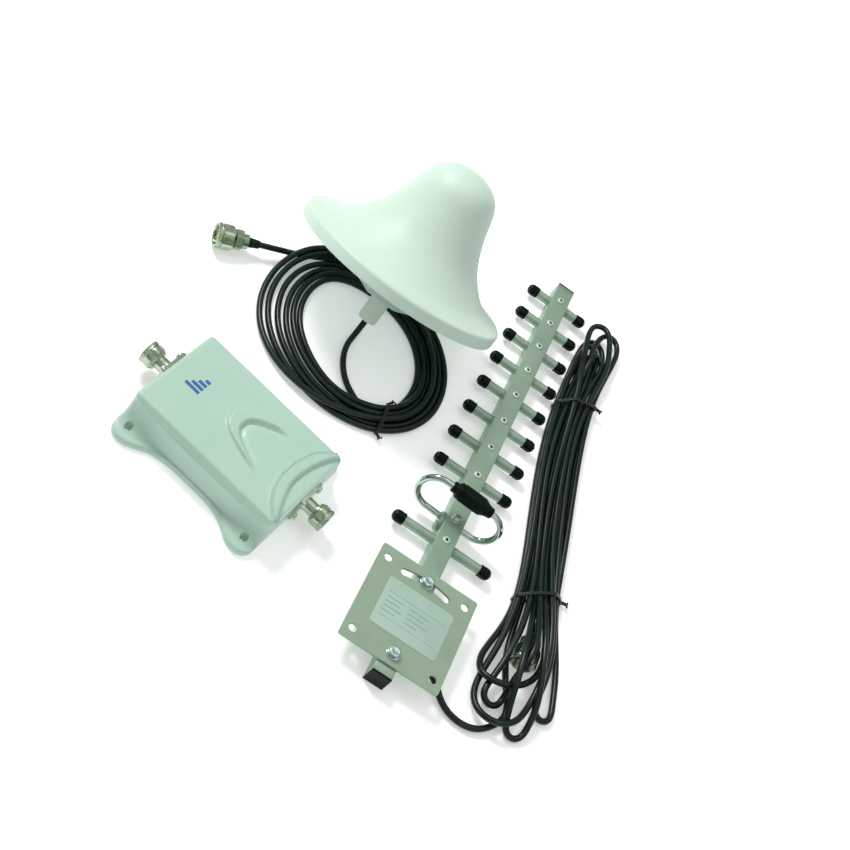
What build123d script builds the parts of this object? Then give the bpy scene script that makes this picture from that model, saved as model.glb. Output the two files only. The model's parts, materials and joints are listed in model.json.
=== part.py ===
from build123d import *
import math
import os

# Cellular signal booster kit, millimetres, +Z up.
# Origin: centre of the amplifier's flat back face. +X runs along the amplifier, from its
# outdoor port's far end to its indoor port; the dome antenna lies behind it (+Y) and the
# directional antenna beside it (+X).

# ---------------------------------------------------------------- driving dimensions
AMP_L, AMP_W, AMP_H = 132.0, 84.0, 32.0        # body: length, width at the base of the walls, height
EAR_X, EAR_Y, EAR_R, EAR_T = 55.5, 50.0, 10.5, 6.0   # mounting ears: hole places, corner radius, thickness
EAR_HOLE_R = 2.5
WAIST_Y = 46.5                                  # flange half width between the ears
PORT_Y, PORT_Z = 1.5, 17.0                      # axis of both radio ports
NUT_L, NUT_R, NUT_AF = 15.0, 10.3, 19.4         # coupling nut
THREAD_R = 7.95
TUBE_R = 5.5
RUN_GAP = 0.04                                  # radial running clearance of the nuts
PORT_LEN = 22.5                                 # from the end wall to the nut's face
PORT_NUT = (11.5, 9.2, 17.6)                    # the ports' smaller coupling nuts: length, ring radius, across flats

CABLE_R = 2.5
PLUG_LEN = 36.0                                 # nut face to the rear of the boot

DOME_R, DOME_H = 91.6, 101.8
DOME_C = (-8.5, 201.5, 48.2)                    # centre of the rim's lower edge
DOME_A = (-0.0868, 0.5167, 0.8517)              # axis, base to nose
HUB_R, HUB_H, HUB_HEX = 24.0, 20.0, 26.0
STUB_R, STUB_END = 8.0, 44.0

YAGI_O, YAGI_YAW = (188.4, -56.9, 0.0), 12.8    # near end of the boom, its turn about Z
BOOM, BOOM_L, BOOM_WALL = 16.0, 440.0, 1.2
EL_Z, EL_R, CAP_R, CAP_L = 8.0, 4.0, 5.0, 10.0
DIR_Y0, DIR_PITCH = 197.5, 32.0
DIR_LEN = [72.0, 71.5, 69.0, 67.0, 66.0, 64.0, 62.0, 60.0]
REF_Y, REF_LEN = 127.0, 88.0
DIP_Y, DIP_HALF, DIP_HH, DIP_R = 149.0, 35.5, 15.2, 2.6
DIP_TILT, DIP_LEAN, DIP_SHIFT = 2.7, 10.9, -4.0      # the loop is bent a little sideways and towards the far end
PLATE_W, PLATE_L, PLATE_T, PLATE_Y = 82.0, 85.4, 2.0, 50.0
PLATE_HOLE, PLATE_HOLE_R = 66.5, 3.25
PIVOT_Y, LOCK_R, SLOT_HALF, BOLT_R = 17.0, 65.5, 16.0, 2.5

parts = {}


def cyl(r, z0, z1):
    return Pos(0, 0, (z0 + z1) / 2) * Cylinder(r, z1 - z0)


def box(x0, x1, y0, y1, z0, z1):
    return Pos((x0 + x1) / 2, (y0 + y1) / 2, (z0 + z1) / 2) * Box(x1 - x0, y1 - y0, z1 - z0)


def add(name, *solids):
    out = []
    for s in solids:
        out += list(s.solids())
    parts[name] = out[0] if len(out) == 1 else Compound(children=out)


def prism(points, z0, z1):
    face = make_face(Polyline(*points, close=True))
    return Pos(0, 0, z0) * extrude(face, amount=z1 - z0)


def rounded(length, width, r, z0, z1):
    return Pos(0, 0, z0) * extrude(RectangleRounded(length, width, r), amount=z1 - z0)


def revolved(profile):
    # profile in (radius, height), turned about Z
    return revolve(Plane.XZ * make_face(Polyline(*profile, close=True)), axis=Axis.Z)


# ---------------------------------------------------------------- coaxial coupling, local axis +Z, mating face at z = 0
def nut_solid(length=NUT_L, ring=NUT_R, flats=NUT_AF):
    hexa = Pos(0, 0, -length + 2.2) * extrude(RegularPolygon(flats / 2, 6, major_radius=False), amount=length - 2.2 - 3.6)
    hexa = hexa & cyl(ring, -length, 0)
    body = hexa + cyl(ring, -3.0, 0) + cyl(ring - 0.5, -3.8, -2.9) + Pos(0, 0, -length + 1.15) * Cone(7.6, ring - 0.7, 2.3)
    return body - cyl(THREAD_R, -9.0, 1) - cyl(TUBE_R + RUN_GAP, -length - 1, -8)


def core_solid(rear):
    # sleeve the nut turns on, its retaining shoulder and the front ferrule
    tube = cyl(TUBE_R, rear, -8.6) + cyl(6.9, -8.6, -7.4) + cyl(4.2, -7.4, -1.6)
    return tube - cyl(3.4, -8.0, 0)


def contact_solid():
    # insulator disc with the centre pin
    return cyl(3.4, -8.0, -6.6) + cyl(1.5, -6.6, -3.2) + Pos(0, 0, -2.3) * Cone(1.5, 0.7, 1.8)


def plug(prefix, loc):
    add(prefix + "_plug_body", loc * (core_solid(-NUT_L - 0.3)
        + (Pos(0, 0, -21.3) * extrude(RegularPolygon(7.4, 6, major_radius=False), amount=6.0))
        + cyl(6.2, -26.0, -21.3)))
    add(prefix + "_plug_contact", loc * contact_solid())
    add(prefix + "_plug_boot", loc * cyl(4.0, -PLUG_LEN, -26.0))
    add(prefix + "_plug_nut", loc * nut_solid())


def axis_loc(point, direction, x_dir):
    return Plane(origin=point, x_dir=x_dir, z_dir=direction).location


# ---------------------------------------------------------------- amplifier
def flange_outline():
    # corners round the ear holes, with a waist drawn in between them
    ex, ey, r = EAR_X, EAR_Y, EAR_R
    side = [(ex, -ey - r), (44.0, -57.4), (34.0, -50.6), (22.0, -47.2), (8.0, -WAIST_Y), (-8.0, -WAIST_Y),
            (-22.0, -47.2), (-34.0, -50.6), (-44.0, -57.4), (-ex, -ey - r)]
    near = Spline(*side, tangents=[(-1, 0), (-1, 0)])
    far = Spline(*[(x, -y) for x, y in reversed(side)], tangents=[(1, 0), (1, 0)])
    e = ex + r
    c = r * math.sqrt(0.5)
    arcs = [ThreePointArc((-ex, -ey - r), (-ex - c, -ey - c), (-e, -ey)),
            Line((-e, -ey), (-e, ey)),
            ThreePointArc((-e, ey), (-ex - c, ey + c), (-ex, ey + r)),
            far,
            ThreePointArc((ex, ey + r), (ex + c, ey + c), (e, ey)),
            Line((e, ey), (e, -ey)),
            ThreePointArc((e, -ey), (ex + c, -ey - c), (ex, -ey - r))]
    return make_face([near] + arcs)


flange = extrude(flange_outline(), amount=EAR_T)
upper = Pos(0, 0, EAR_T) * extrude(RectangleRounded(AMP_L, AMP_W + 4, 5), amount=AMP_H - EAR_T)
upper = chamfer(upper.faces().sort_by(Axis.Z)[-1].edges().filter_by(Axis.X), 3.0)
upper = fillet(upper.faces().sort_by(Axis.Z)[-1].edges(), 2.0)
cover = flange + upper
cover = cover - rounded(128, 80, 4, -1, 2.8) - rounded(120, 72, 3, 2, AMP_H - 2.6)
for sx in (-1, 1):
    for sy in (-1, 1):
        cover = cover - Pos(sx * EAR_X, sy * EAR_Y, 0) * cyl(EAR_HOLE_R, -1, EAR_T + 1)
        post = Pos(sx * 55.5, sy * 31.5, 0) * cyl(4.0, 2.8, AMP_H - 2.0)
        cover = cover + (post & box(-62, 62, -38, 38, 2.8, AMP_H - 2.0))
for sx in (-1, 1):
    for sy in (-1, 1):
        cover = cover - Pos(sx * 55.5, sy * 31.5, 0) * cyl(1.5, 2.0, 14.0)
# end-wall holes for the two ports, the power inlet and the lamp
for sx in (-1, 1):
    axis = axis_loc((sx * AMP_L / 2, PORT_Y, PORT_Z), (sx, 0, 0), (0, 1, 0))
    cover = cover - axis * cyl(5.2, -8, 1)
    for a in (-9.13, 9.13):
        for b in (-9.13, 9.13):
            cover = cover - axis * (Pos(a, b, 0) * cyl(1.5, -8, 1))
JACK = axis_loc((-AMP_L / 2, 21.8, 12.5), (-1, 0, 0), (0, 1, 0))
LAMP = axis_loc((-AMP_L / 2, 21.8, 23.5), (-1, 0, 0), (0, 1, 0))
cover = cover - JACK * cyl(4.05, -8, 1) - LAMP * cyl(1.55, -8, 1)
add("amp_cover", cover)

plate = rounded(127.6, 79.6, 3.8, 0, 2.0)
for sx in (-1, 1):
    for sy in (-1, 1):
        plate = plate - Pos(sx * 55.5, sy * 31.5, 0) * (cyl(1.6, -1, 3) + cyl(3.0, -1, 1.4))
        plate = plate + Pos(sx * 46, sy * 24, 0) * cyl(3.0, 1.9, 7.0)
for sx in (-1, 1):
    for sy in (-1, 1):
        plate = plate - Pos(sx * 46, sy * 24, 0) * cyl(1.3, 2.4, 8)
add("amp_back_plate", plate)

gasket = rounded(127.6, 79.6, 3.8, 2.0, 2.8) - rounded(120, 72, 3, 1, 3)
for sx in (-1, 1):
    for sy in (-1, 1):
        gasket = gasket - Pos(sx * 55.5, sy * 31.5, 0) * cyl(4.2, 1, 3)
add("amp_gasket", max(gasket.solids(), key=lambda s: s.volume))

add("amp_cover_screws", *[Pos(sx * 55.5, sy * 31.5, 0) * (cyl(2.8, 0, 1.4) + cyl(1.45, 1.3, 12.0))
                          for sx in (-1, 1) for sy in (-1, 1)])
board = box(-51, 51, -28, 28, 7.0, 8.6)
for sx in (-1, 1):
    for sy in (-1, 1):
        board = board - Pos(sx * 46, sy * 24, 0) * cyl(1.6, 6, 9)
add("amp_main_board", board)
add("amp_board_screws", *[Pos(sx * 46, sy * 24, 0) * (cyl(2.7, 8.6, 10.4) + cyl(1.25, 3.0, 8.7))
                          for sx in (-1, 1) for sy in (-1, 1)])
add("amp_shield_cans", *[box(c - 19, c + 19, -10, 22, 8.6, 17.0) - box(c - 18.4, c + 18.4, -9.4, 21.4, 8.0, 16.4)
                         for c in (-21, 21)])
add("amp_duplexers", *[box(c - 12, c + 12, -25, -13, 8.6, 15.0) for c in (-22, 22)])
add("amp_power_inlet", JACK * (cyl(5.6, 0, 1.6) + cyl(4.0, -11, 0.1) - cyl(2.8, -8, 2) + cyl(1.0, -9, 1.0)))
add("amp_power_lamp", LAMP * (cyl(1.5, -4, 0) + (Sphere(1.5) & cyl(2, -1, 2))))

for name, sx in (("outdoor", -1), ("indoor", 1)):
    loc = axis_loc((sx * (AMP_L / 2 + PORT_LEN), PORT_Y, PORT_Z), (sx, 0, 0), (0, 1, 0))
    body = core_solid(-PORT_LEN) + Pos(0, 0, -PORT_LEN) * extrude(RectangleRounded(25.4, 25.4, 2), amount=2.4)
    body = body + cyl(5.0, -PORT_LEN - 7.5, -PORT_LEN + 0.1)
    for a in (-9.13, 9.13):
        for b in (-9.13, 9.13):
            body = body - Pos(a, b, 0) * cyl(1.6, -PORT_LEN - 1, -PORT_LEN + 3)
    add(name + "_port_body", loc * body)
    add(name + "_port_contact", loc * contact_solid())
    add(name + "_port_screws", *[loc * (Pos(a, b, 0) * (cyl(2.8, -PORT_LEN + 2.4, -PORT_LEN + 4.6)
                                                          + cyl(1.45, -PORT_LEN - 5.5, -PORT_LEN + 2.5)))
                                  for a in (-9.13, 9.13) for b in (-9.13, 9.13)])
    add(name + "_port_nut", loc * nut_solid(*PORT_NUT))

# ---------------------------------------------------------------- dome antenna, local axis +Z from the rim's lower edge
nrm = math.sqrt(sum(c * c for c in DOME_A))
A = Vector(*[c / nrm for c in DOME_A])
DOME = Plane(origin=DOME_C, x_dir=A.cross(Vector(0, 0, 1)).normalized(), z_dir=A).location
outer = [(DOME_R, 0), (DOME_R, 8.6), (DOME_R - 1.0, 10.4), (DOME_R - 3.2, 11.3), (80.0, 13.2), (72.0, 16.0), (64.5, 20.5), (57.0, 27.0),
         (50.0, 35.0), (44.5, 43.0), (39.8, 51.5), (36.0, 60.0), (33.2, 68.5), (31.6, 76.0), (30.2, 82.5), (27.8, 88.5),
         (24.0, 93.6), (18.8, 97.6), (12.2, 100.4), (6.0, 101.5), (0, DOME_H)]
WALL = 2.0
inner = [(DOME_R - WALL, 0), (DOME_R - WALL, 8.0), (DOME_R - 3.4, 9.2), (79.2, 11.1), (71.0, 13.9), (63.2, 18.4), (55.4, 25.2),
         (48.2, 33.6), (42.6, 41.8), (37.9, 50.4), (34.0, 59.2), (31.2, 68.0), (29.6, 75.6), (28.3, 81.8), (26.0, 87.4),
         (22.6, 92.0), (17.8, 95.6), (11.6, 98.4), (5.6, 99.5), (0, DOME_H - WALL)]
radome = revolved(outer + list(reversed(inner)))
add("dome_radome", DOME * radome)
base = cyl(DOME_R - WALL - 0.1, 0.6, 3.0) - cyl(HUB_R - 4, 0, 4)
for k in range(4):
    a = math.radians(45 + 90 * k)
    base = base - Pos(60 * math.cos(a), 60 * math.sin(a), 0) * cyl(1.6, 0, 4)
add("dome_base_plate", DOME * base)
add("dome_base_screws", *[DOME * (Pos(60 * math.cos(math.radians(45 + 90 * k)), 60 * math.sin(math.radians(45 + 90 * k)), 0)
                                   * (cyl(2.8, -1.2, 0.6) + cyl(1.5, 0.5, 5.0))) for k in range(4)])
hub = Pos(0, 0, -HUB_H) * extrude(RegularPolygon(HUB_HEX, 6), amount=HUB_H + 0.6) + cyl(HUB_R - 4.1, 0.5, 3.0) - cyl(6.0, -HUB_H - 1, 4)
add("dome_hub", DOME * hub)
stub = cyl(STUB_R, -STUB_END, -HUB_H) + cyl(5.9, -HUB_H - 0.1, 3.0) - cyl(CABLE_R + 0.2, -STUB_END - 1, -30.0)
add("dome_stub", DOME * stub)
disc = cyl(80, 3.0, 4.4)
for k in range(4):
    a = math.radians(45 + 90 * k)
    disc = disc - Pos(60 * math.cos(a), 60 * math.sin(a), 0) * cyl(1.6, 0, 6)
disc = disc - cyl(3.0, 0, 6)
add("dome_ground_disc", DOME * disc)
add("dome_feed", DOME * (cyl(2.9, 3.0, 10.0)))
cone = revolved([(3.0, 10.0), (24.0, 46.0), (24.0, 84.0), (22.8, 84.0), (22.8, 46.4), (2.0, 11.6), (0, 11.6), (0, 10.0)])
add("dome_radiator", DOME * cone)


def dome_pt(h):
    return tuple(DOME_C[i] + h * tuple(A)[i] for i in range(3))


def cord(points, radius=CABLE_R):
    # straight runs joined by tangent arcs; each arc takes 0.45 of the shorter run
    radii = []
    for p, q, r in zip(points, points[1:], points[2:]):
        u, v = Vector(*q) - Vector(*p), Vector(*r) - Vector(*q)
        radii.append(0.45 * min(u.length, v.length) / math.tan(math.radians(u.get_angle(v)) / 2))
    if radii:
        path = FilletPolyline(*points, radius=radii)
    else:
        path = Line(*points)
    start = path.edges()[0]
    section = Plane(origin=path @ 0, z_dir=path % 0) * Circle(radius)
    tube = sweep(section, path=path)
    print("cord radii", [round(x, 1) for x in radii], "length", round(path.length, 1),
          "volume ratio", round(tube.volume / (math.pi * radius ** 2 * path.length), 4))
    return tube


s1 = (DOME_C[2] - 2.9) / A.Z
lead = [dome_pt(-30.0), dome_pt(-s1), (-0.5, 146.0, 2.9), (18.0, 122.5, 2.9), (45.5, 113.0, 2.9)]
add("dome_cable_lead", cord(lead))
COIL_OUT = [(-74, 211), (-83, 198), (-88, 180), (-88, 162), (-83, 143), (-76, 126), (-64, 109), (-43, 93), (-18, 84), (10, 82),
            (35, 87), (57, 96), (71, 107), (81, 127), (87, 154), (82, 180), (72, 200), (55, 220), (36, 232), (12, 239), (-14, 240),
            (-38, 235), (-58, 225)]
COIL_IN = [(-39, 207), (-48, 198), (-54, 187), (-54, 168), (-49, 150), (-39, 136), (-25, 126), (-6, 118), (14, 113), (42, 112),
           (60, 126), (65, 145), (63, 165), (56, 185), (44, 201), (29, 211), (8, 217), (-16, 216)]
add("dome_cable_coil", prism(COIL_OUT, 1.0, 13.0) - prism(COIL_IN, 0, 14))
tie_dir = (0.35, -0.937, 0)
TIE = Plane(origin=(63.5, 110.5, 7.2), x_dir=tie_dir, z_dir=(0.937, 0.35, 0)).location
add("dome_coil_tie", TIE * (box(-18.4, 11.6, -7.15, 7.1, -1.3, 1.3) - box(-17.4, 10.6, -6.25, 6.25, -3, 3)))
face = (-132.7, 133.7, NUT_R)
pd = Vector(-0.7514, -0.6601, 0).normalized()
plug("dome", axis_loc(face, tuple(pd), (0.6601, -0.7514, 0)))
q0 = (face[0] - PLUG_LEN * pd.X, face[1] - PLUG_LEN * pd.Y, NUT_R)
q1 = (q0[0] - 14 * pd.X, q0[1] - 14 * pd.Y, NUT_R)
add("dome_cable_tail", cord([q0, q1, (-80.5, 188.0, 3.2)]))

# ---------------------------------------------------------------- directional antenna, local: boom along +Y, near end at y = 0
YAGI = Pos(*YAGI_O) * Rot(0, 0, YAGI_YAW)
h = BOOM / 2


def xcyl(r, x0, x1, y, z):
    return Pos((x0 + x1) / 2, y, z) * (Rot(0, 90, 0) * Cylinder(r, x1 - x0))


boom = box(-h, h, 0, BOOM_L, 0, BOOM) - box(-h + BOOM_WALL, h - BOOM_WALL, -1, BOOM_L + 1, BOOM_WALL, BOOM - BOOM_WALL)
el_y = [DIR_Y0 + DIR_PITCH * k for k in range(8)] + [REF_Y]
el_len = DIR_LEN + [REF_LEN]
for y in el_y:
    boom = boom - xcyl(EL_R + 0.05, -20, 20, y, EL_Z)
    boom = boom - Pos(0, y, 0) * cyl(1.6, BOOM - 3, BOOM + 1)
boom = boom - xcyl(3.9, -20, 20, DIP_Y, EL_Z) - Pos(0, DIP_Y, 0) * cyl(2.1, BOOM - 3, BOOM + 1)
boom = boom - xcyl(4.5, 4, 20, 36.0, EL_Z)
for y in (PIVOT_Y, PIVOT_Y + LOCK_R):
    boom = boom - Pos(0, y, 0) * cyl(BOLT_R + 0.05, BOOM - 3, BOOM + 1)
add("yagi_boom", YAGI * boom)
plug_in = h - BOOM_WALL - 0.05
add("yagi_end_plugs",
    YAGI * (box(-h, h, -1.6, 0, 0, BOOM) + box(-plug_in, plug_in, -0.1, 9, BOOM_WALL + 0.05, BOOM - BOOM_WALL - 0.05)),
    YAGI * (box(-h, h, BOOM_L, BOOM_L + 1.6, 0, BOOM) + box(-plug_in, plug_in, BOOM_L - 9, BOOM_L + 0.1, BOOM_WALL + 0.05, BOOM - BOOM_WALL - 0.05)))


def tube_el(y, length):
    half = length / 2 - 1.6
    t = xcyl(EL_R, -half, half, y, EL_Z) - xcyl(EL_R - 0.9, -half - 1, half + 1, y, EL_Z)
    return t - Pos(0, y, 0) * cyl(1.5, EL_Z + 1, EL_Z + 6)


def cap(y, length, side):
    c = xcyl(CAP_R, 0, CAP_L - 2.5, 0, 0) + Pos(CAP_L - 2.5, 0, 0) * (Rot(0, 90, 0) * Pos(0, 0, 1.25) * Cone(CAP_R, CAP_R - 2.2, 2.5))
    c = c - xcyl(EL_R + 0.02, -1, CAP_L - 1.6, 0, 0)
    c = Pos(length / 2 - CAP_L, 0, 0) * c
    return Pos(0, y, EL_Z) * (c if side > 0 else Rot(0, 0, 180) * c)


add("yagi_directors", *[YAGI * tube_el(y, n) for y, n in zip(el_y[:8], el_len[:8])])
add("yagi_reflector", YAGI * tube_el(REF_Y, REF_LEN))
add("yagi_element_caps", *[YAGI * cap(y, n, s) for y, n in zip(el_y, el_len) for s in (-1, 1)])
add("yagi_element_screws", *[YAGI * (Pos(0, y, 0) * (cyl(3.3, BOOM, BOOM + 1.7) + cyl(1.45, EL_Z + 3.4, BOOM + 0.1))) for y in el_y])

# folded dipole: one bent tube, its lower run through the boom, its gap above under the feed block
r_end = DIP_HH - 0.001
w = DIP_HALF - DIP_HH
gap = 4.0
top = 2 * DIP_HH
pts = [(gap, top), (w, top), (DIP_HALF, DIP_HH), (w, 0), (-w, 0), (-DIP_HALF, DIP_HH), (-w, top), (-gap, top)]
path = Wire([Line((gap, 0, top), (w, 0, top)),
             ThreePointArc((w, 0, top), (DIP_HALF, 0, DIP_HH), (w, 0, 0)),
             Line((w, 0, 0), (-w, 0, 0)),
             ThreePointArc((-w, 0, 0), (-DIP_HALF, 0, DIP_HH), (-w, 0, top)),
             Line((-w, 0, top), (-gap, 0, top))])
loop = sweep(Plane(origin=(gap, 0, top), z_dir=(1, 0, 0)) * Circle(DIP_R), path=path)
DIP = YAGI * Pos(0, DIP_Y, EL_Z) * Rot(-DIP_LEAN, 0, 0) * Rot(0, DIP_TILT, 0) * Pos(DIP_SHIFT, 0, 0)
add("yagi_dipole_loop", DIP * loop)
feed = xcyl(7.0, -9, 13, 0, top) + xcyl(4.2, -16, 20.5, 0, top)
feed = feed + Pos(14.5, 0, top) * (Rot(0, 90, 0) * Cone(7.0, 4.2, 3.0)) + Pos(-10.5, 0, top) * (Rot(0, -90, 0) * Cone(7.0, 4.2, 3.0))
feed = feed - xcyl(DIP_R + 0.03, gap, 30, 0, top) - xcyl(DIP_R + 0.03, -30, -gap, 0, top)
add("yagi_feed_block", DIP * feed)
boss = xcyl(8.0, -h - 3.2, -h, DIP_Y - 4.0, EL_Z) - xcyl(3.4, -h - 4, -h + 1, DIP_Y, EL_Z + 0.45)
add("yagi_dipole_boss", YAGI * boss)
add("yagi_dipole_screws",
    YAGI * (Pos(0, DIP_Y, 0) * (cyl(4.2, BOOM, BOOM + 0.8) + cyl(3.6, BOOM + 0.7, BOOM + 3.4) + cyl(2.0, EL_Z + DIP_R + 0.6, BOOM + 0.1))),
    YAGI * xcyl(2.2, -h - 5.2, -h - 3.2, DIP_Y - 7.6, EL_Z + 3.2))

grommet = xcyl(5.6, h, h + 1.4, 36.0, EL_Z) + xcyl(4.45, h - 1.6, h + 0.1, 36.0, EL_Z) - xcyl(CABLE_R + 0.02, 4, 20, 36.0, EL_Z)
add("yagi_cable_grommet", YAGI * grommet)

# plate under the two bolts: the near bolt is the pivot, the far one clamps through the arc slot
pl = box(-PLATE_W / 2, PLATE_W / 2, PLATE_Y - PLATE_L / 2, PLATE_Y + PLATE_L / 2, BOOM, BOOM + PLATE_T)
pl = fillet(pl.edges().filter_by(Axis.Z), 2.0)
for sx in (-1, 1):
    for sy in (-1, 1):
        pl = pl - Pos(sx * PLATE_HOLE / 2, PLATE_Y + sy * PLATE_HOLE / 2, 0) * cyl(PLATE_HOLE_R, BOOM - 1, BOOM + 4)
pl = pl - Pos(0, PIVOT_Y, 0) * cyl(BOLT_R + 0.06, BOOM - 1, BOOM + 4)
ro, ri = LOCK_R + BOLT_R + 0.4, LOCK_R - BOLT_R - 0.4
a1 = math.radians(90 - SLOT_HALF)
a2 = math.radians(90 + SLOT_HALF)


def on(r, a):
    return (r * math.cos(a), PIVOT_Y + r * math.sin(a))


slot = make_face([ThreePointArc(on(ro, a1), on(ro, math.pi / 2), on(ro, a2)), Line(on(ro, a2), on(ri, a2)),
                  ThreePointArc(on(ri, a2), on(ri, math.pi / 2), on(ri, a1)), Line(on(ri, a1), on(ro, a1))])
pl = pl - Pos(0, 0, BOOM - 1) * extrude(slot, amount=6)
for a in (a1, a2):
    cx, cy = on(LOCK_R, a)
    pl = pl - Pos(cx, cy, 0) * cyl(BOLT_R + 0.4, BOOM - 1, BOOM + 4)
add("yagi_mount_plate", YAGI * pl)
z = BOOM + PLATE_T
add("yagi_plate_label", YAGI * box(-26, 29, 29, 71, z, z + 0.3))
bolts, washers, nuts = [], [], []
for y in (PIVOT_Y, PIVOT_Y + LOCK_R):
    at = Pos(0, y, 0)
    washers.append(YAGI * (at * (cyl(5.4, z, z + 1.0) - cyl(BOLT_R + 0.05, z - 1, z + 2))))
    bolts.append(YAGI * (at * (cyl(BOLT_R, 6.5, z + 1.1) + Pos(0, 0, z + 1.0) * extrude(RegularPolygon(4.0, 6, major_radius=False), amount=3.4))))
    nuts.append(YAGI * (at * (Pos(0, 0, 10.6) * extrude(RegularPolygon(4.0, 6, major_radius=False), amount=BOOM - BOOM_WALL - 10.6) - cyl(BOLT_R + 0.02, 5, 16))))
add("yagi_clamp_bolts", *bolts)
add("yagi_clamp_washers", *washers)
add("yagi_clamp_nuts", *nuts)

ylead = [(7.0, 36.5, 8.0), (34.0, 31.0, 6.5), (52.0, 10.0, 3.0), (79.0, 8.0, 3.2), (96.5, 28.5, 3.4)]
add("yagi_cable_lead", YAGI * cord(ylead))
HANK = [(70, 26), (64, 40), (60, 60), (62, 82), (68, 104), (71, 130), (64, 162), (50, 210), (41, 258), (36.5, 290), (35, 320), (34.5, 350),
        (34, 400), (36, 428), (42, 435), (66, 435), (71, 424), (71, 402), (68, 370), (67, 336), (70, 312), (77, 284), (85, 252), (92, 214),
        (95, 180), (98, 156), (102, 140), (112, 122), (121, 104), (126, 84), (131, 60), (129, 48), (120, 30), (108, 18), (86, 16)]
COVER = [(77, 62), (107, 62), (108, 100), (103, 132), (78, 132), (76, 100)]
hank = prism(HANK, 1.0, 15.0) + prism(COVER, 14.0, 26.0) - box(81.2, 102.8, 70, 102, 0, 21.4) - box(87.4, 96.6, 101, 113, 0, 14.9)
add("yagi_cable_hank", YAGI * hank)


def band(cx, cy, half, ang, z1):
    b = box(-half, half, -1.5, 1.5, 0.05, z1) - box(-half + 0.9, half - 0.9, -3, 3, 0.95, z1 - 0.9)
    return YAGI * (Pos(cx, cy, 0) * (Rot(0, 0, ang) * b))


add("yagi_hank_ties", band(86.0, 139.0, 18.9, 0, 16.0), band(51.0, 336.0, 17.6, 0, 16.0))
PLUG_X, PLUG_Y = 92.0, 75.0
plug_face = YAGI * Pos(PLUG_X, PLUG_Y, NUT_R)
origin = tuple(plug_face.position)
c, s = math.cos(math.radians(YAGI_YAW)), math.sin(math.radians(YAGI_YAW))
plug("yagi", axis_loc(origin, (s, -c, 0), (c, s, 0)))
tail_y = PLUG_Y + PLUG_LEN
add("yagi_cable_tail", YAGI * (Pos(PLUG_X, tail_y + 6.0, NUT_R) * (Rot(90, 0, 0) * Cylinder(CABLE_R, 12.0))))

os.makedirs("parts", exist_ok=True)
for name, shape in parts.items():
    export_step(shape, "parts/" + name + ".step")
print(len(parts), "nodes")
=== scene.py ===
import bmesh
import bpy
import json
import math
import numpy as np
from mathutils import Vector, Matrix


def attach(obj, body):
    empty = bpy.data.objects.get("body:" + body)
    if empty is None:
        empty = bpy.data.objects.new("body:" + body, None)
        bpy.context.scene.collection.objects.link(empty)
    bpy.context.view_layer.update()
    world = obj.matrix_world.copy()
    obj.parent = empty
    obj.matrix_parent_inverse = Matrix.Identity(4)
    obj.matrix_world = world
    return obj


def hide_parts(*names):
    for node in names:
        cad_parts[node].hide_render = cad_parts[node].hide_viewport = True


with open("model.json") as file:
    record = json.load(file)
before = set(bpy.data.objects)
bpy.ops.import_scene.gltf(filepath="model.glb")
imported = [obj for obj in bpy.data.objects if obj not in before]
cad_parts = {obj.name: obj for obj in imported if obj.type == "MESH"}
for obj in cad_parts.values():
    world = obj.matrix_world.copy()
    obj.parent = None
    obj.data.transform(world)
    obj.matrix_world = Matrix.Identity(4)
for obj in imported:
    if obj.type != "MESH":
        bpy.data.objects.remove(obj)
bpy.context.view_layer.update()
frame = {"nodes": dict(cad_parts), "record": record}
nodes = frame["nodes"]
MM = 0.001

# ------------------------------------------------------------------ the same dimensions as the CAD, mm
PORT_Y, PORT_Z = 1.5, 17.0
NUT_L, NUT_R, NUT_AF, THREAD_R, TUBE_R = 15.0, 10.3, 19.4, 7.95, 5.5
DOME_C = Vector((-8.5, 201.5, 48.2))
DOME_A = Vector((-0.0868, 0.5167, 0.8517)).normalized()
DOME_R, DOME_H = 91.6, 101.8
YAGI = Matrix.Translation((188.4, -56.9, 0)) @ Matrix.Rotation(math.radians(12.8), 4, "Z")
DIP_Y, DIP_HH, DIP_R = 149.0, 15.2, 2.6
DIP = (YAGI @ Matrix.Translation((0, DIP_Y, 8.0)) @ Matrix.Rotation(math.radians(-10.9), 4, "X") @ Matrix.Rotation(math.radians(2.7), 4, "Y")
       @ Matrix.Translation((-4.0, 0, 0)))
EL_Y = [197.5 + 32.0 * k for k in range(8)] + [127.0]
EL_LEN = [72.0, 71.5, 69.0, 67.0, 66.0, 64.0, 62.0, 60.0, 88.0]


# ------------------------------------------------------------------ materials
def principled(name):
    m = bpy.data.materials.new(name)
    m.use_nodes = True
    t = m.node_tree
    return m, t, t.nodes["Principled BSDF"]


def node(t, kind, **props):
    n = t.nodes.new(kind)
    for k, v in props.items():
        setattr(n, k, v)
    return n


def coords(t, scale=(1, 1, 1), rot=(0, 0, 0)):
    tc = node(t, "ShaderNodeTexCoord")
    mp = node(t, "ShaderNodeMapping")
    mp.inputs["Scale"].default_value = scale
    mp.inputs["Rotation"].default_value = rot
    t.links.new(tc.outputs["Object"], mp.inputs["Vector"])
    return mp.outputs["Vector"]


def noise(t, vec, scale, detail=3.0, rough=0.5):
    n = node(t, "ShaderNodeTexNoise")
    n.inputs["Scale"].default_value = scale
    n.inputs["Detail"].default_value = detail
    n.inputs["Roughness"].default_value = rough
    t.links.new(vec, n.inputs["Vector"])
    return n.outputs["Fac"]


def ramp(t, fac, stops):
    r = node(t, "ShaderNodeValToRGB")
    e = r.color_ramp.elements
    while len(e) < len(stops):
        e.new(0.5)
    for el, (p, c) in zip(e, stops):
        el.position = p
        el.color = (c[0], c[1], c[2], 1) if hasattr(c, "__len__") else (c, c, c, 1)
    t.links.new(fac, r.inputs["Fac"])
    return r.outputs["Color"]


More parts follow.
